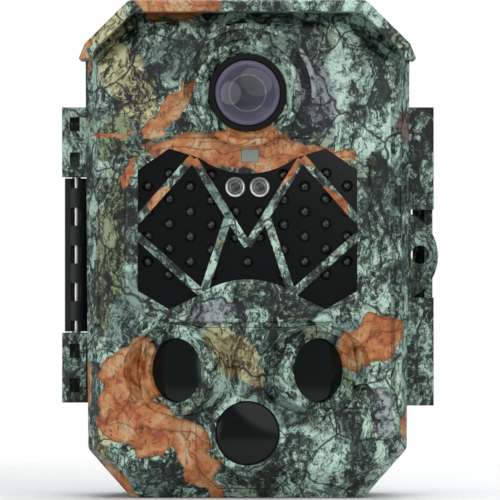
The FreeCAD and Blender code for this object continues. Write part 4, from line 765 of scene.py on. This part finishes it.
def makeThreadedInsert():
    sizes = threadedInsert
    profile = [(sizes["outer"], sizes["length"]), (sizes["outer"], sizes["chamfer"] / 2),
               (sizes["outer"] - sizes["chamfer"] / 2, sizes["foot"]),
               (sizes["root"] + sizes["chamfer"], sizes["foot"])]
    height = sizes["firstRidge"]
    while height < sizes["length"] - sizes["pitch"]:
        profile += [(sizes["root"], height), (sizes["crest"], height + sizes["pitch"] * sizes["rise"]),
                    (sizes["crest"], height + sizes["pitch"] * sizes["land"])]
        height += sizes["pitch"]
    profile += [(sizes["root"], height), (sizes["root"], sizes["length"])]
    insert = turnPiece(profile, 0.0, 0.0, 64, "Z")
    finishPiece(insert, "threadedInsert", brass, "case")
    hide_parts("tripod_insert")


# silvered cups and dark chips behind the clear domes of the two indicator diodes
indicator = {"x": 3.4, "z": 86.4,
             "cup": [(2.72, -43.6), (2.72, -44.15), (2.35, -44.15), (1.1, -43.7), (0.9, -43.6)],
             "chip": [(0.55, -43.62), (0.55, -43.95), (0.04, -43.98), (0.04, -43.62)]}


def makeIndicatorCups():
    for side, word in ((-1, "left"), (1, "right")):
        cup = turnPiece(indicator["cup"], side * indicator["x"], indicator["z"], 48)
        finishPiece(cup, "indicatorCup_" + word, reflector, "front")
        chip = turnPiece(indicator["chip"], side * indicator["x"], indicator["z"], 24)
        finishPiece(chip, "indicatorChip_" + word, barrelRings, "front")


# raised arrows on the four direction keys
keyMark = {"pitch": 11.0, "z": 62.0, "size": 1.5, "top": -14.14, "thick": 0.16, "bevel": 0.05,
           "places": {"up": (0, 1, 0), "down": (0, -1, 180), "left": (-1, 0, 90), "right": (1, 0, -90)}}


def makeKeyMarks():
    for name, (across, up, lean) in keyMark["places"].items():
        startPiece()
        place = Vector((across * keyMark["pitch"], keyMark["top"], keyMark["z"] + up * keyMark["pitch"]))
        bpy.ops.mesh.primitive_cylinder_add(vertices=3, radius=keyMark["size"] * millimetre,
                                            depth=keyMark["thick"] * millimetre,
                                            rotation=(math.radians(90), math.radians(lean), 0),
                                            location=place * millimetre)
        mark = bpy.context.object
        bpy.ops.object.mode_set(mode="EDIT")
        bpy.ops.mesh.select_all(action="SELECT")
        bpy.ops.mesh.bevel(offset=keyMark["bevel"] * millimetre, segments=2, affect="EDGES")
        bpy.ops.object.mode_set(mode="OBJECT")
        finishPiece(mark, "keyMark_" + name, windowGrey, "key_" + name + "_body")


for makePiece in (makeFrontGlass, makeSensorWindows, makeLensRings, makeContactCoils, makeCoverScrews,
                  makeThreadedInsert, makeIndicatorCups, makeKeyMarks):
    makePiece()
    print("made:", makePiece.__name__)


# stage, lights and camera

studio = {"floorRadius": 0.36, "floorGap": 0.0002, "floorFade": (0.16, 0.34), "worldGlow": 0.32,
          "lensLength": 500, "sensorWidth": 36, "viewWidth": 0.1389, "aim": (0.0007, -0.046, 0.0689)}
# place, width and power of each softbox
softboxes = {
    "keySoftbox": ((0.36, -0.93, 0.58), 1.40, 6.2),
    "fillSoftbox": ((-0.66, -0.90, 0.10), 0.96, 4.6),
    "topSoftbox": ((0.0, -0.1, 1.1), 0.8, 4.6),
    "backSoftbox": ((0.2, 1.1, 0.55), 0.9, 5.0),
}


def makeStage():
    # a round pale floor that fades into the white backdrop
    bpy.ops.object.select_all(action="DESELECT")
    bpy.ops.mesh.primitive_circle_add(vertices=96, radius=studio["floorRadius"], fill_type="NGON",
                                      location=(0, 0, cadBounds[0].z - studio["floorGap"]))
    floor = bpy.context.object
    floor.name = "floor"
    material, tree, shader = newMaterial("paleFloor", Roughness=0.6)
    place = newNode(tree, "ShaderNodeTexCoord")
    cloud = noise(tree, place.outputs["Object"], 3, 3, 0.5)
    tone = mixColors(tree, cloud.outputs[0], (0.86, 0.86, 0.86, 1), (0.92, 0.92, 0.92, 1))
    plug(tree, tone, shader.inputs["Base Color"])
    distance = newNode(tree, "ShaderNodeVectorMath", operation="LENGTH")
    plug(tree, place.outputs["Object"], distance.inputs[0])
    fade = between(tree, distance.outputs["Value"], *studio["floorFade"])
    plug(tree, calc(tree, "SUBTRACT", 1.0, fade), shader.inputs["Alpha"])
    floor.data.materials.append(material)


def addSoftbox(name, position, width, power):
    light = bpy.data.lights.new(name, "AREA")
    light.shape = "DISK"
    light.size = width
    light.energy = power
    lamp = bpy.data.objects.new(name, light)
    bpy.context.scene.collection.objects.link(lamp)
    lamp.location = position
    lamp.rotation_euler = (Vector(studio["aim"]) - Vector(position)).to_track_quat("-Z", "Y").to_euler()


def makeLights():
    for name, (position, width, power) in softboxes.items():
        addSoftbox(name, position, width, power)
    world = bpy.data.worlds.new("studioWorld")
    bpy.context.scene.world = world
    world.use_nodes = True
    tree = world.node_tree
    tree.nodes.clear()
    out = newNode(tree, "ShaderNodeOutputWorld")
    seen = newNode(tree, "ShaderNodeBackground")
    seen.inputs[0].default_value = (1, 1, 1, 1)
    around = newNode(tree, "ShaderNodeBackground")
    around.inputs[0].default_value = (0.9, 0.95, 1, 1)
    around.inputs[1].default_value = studio["worldGlow"]
    rays = newNode(tree, "ShaderNodeLightPath")
    mix = newNode(tree, "ShaderNodeMixShader")
    plug(tree, rays.outputs["Is Camera Ray"], mix.inputs[0])
    plug(tree, around.outputs[0], mix.inputs[1])
    plug(tree, seen.outputs[0], mix.inputs[2])
    plug(tree, mix.outputs[0], out.inputs[0])


def makeCamera():
    data = bpy.data.cameras.new("camera")
    data.lens = studio["lensLength"]
    data.sensor_width = studio["sensorWidth"]
    data.clip_end = 20
    camera = bpy.data.objects.new("camera", data)
    bpy.context.scene.collection.objects.link(camera)
    aim = Vector(studio["aim"])
    distance = studio["viewWidth"] * data.lens / data.sensor_width
    camera.location = aim + Vector((0, -distance, 0))
    camera.rotation_euler = (math.radians(90), 0, 0)
    bpy.context.scene.camera = camera


makeStage()
makeLights()
makeCamera()
bpy.context.scene.view_settings.view_transform = "Standard"
print("stage ready")
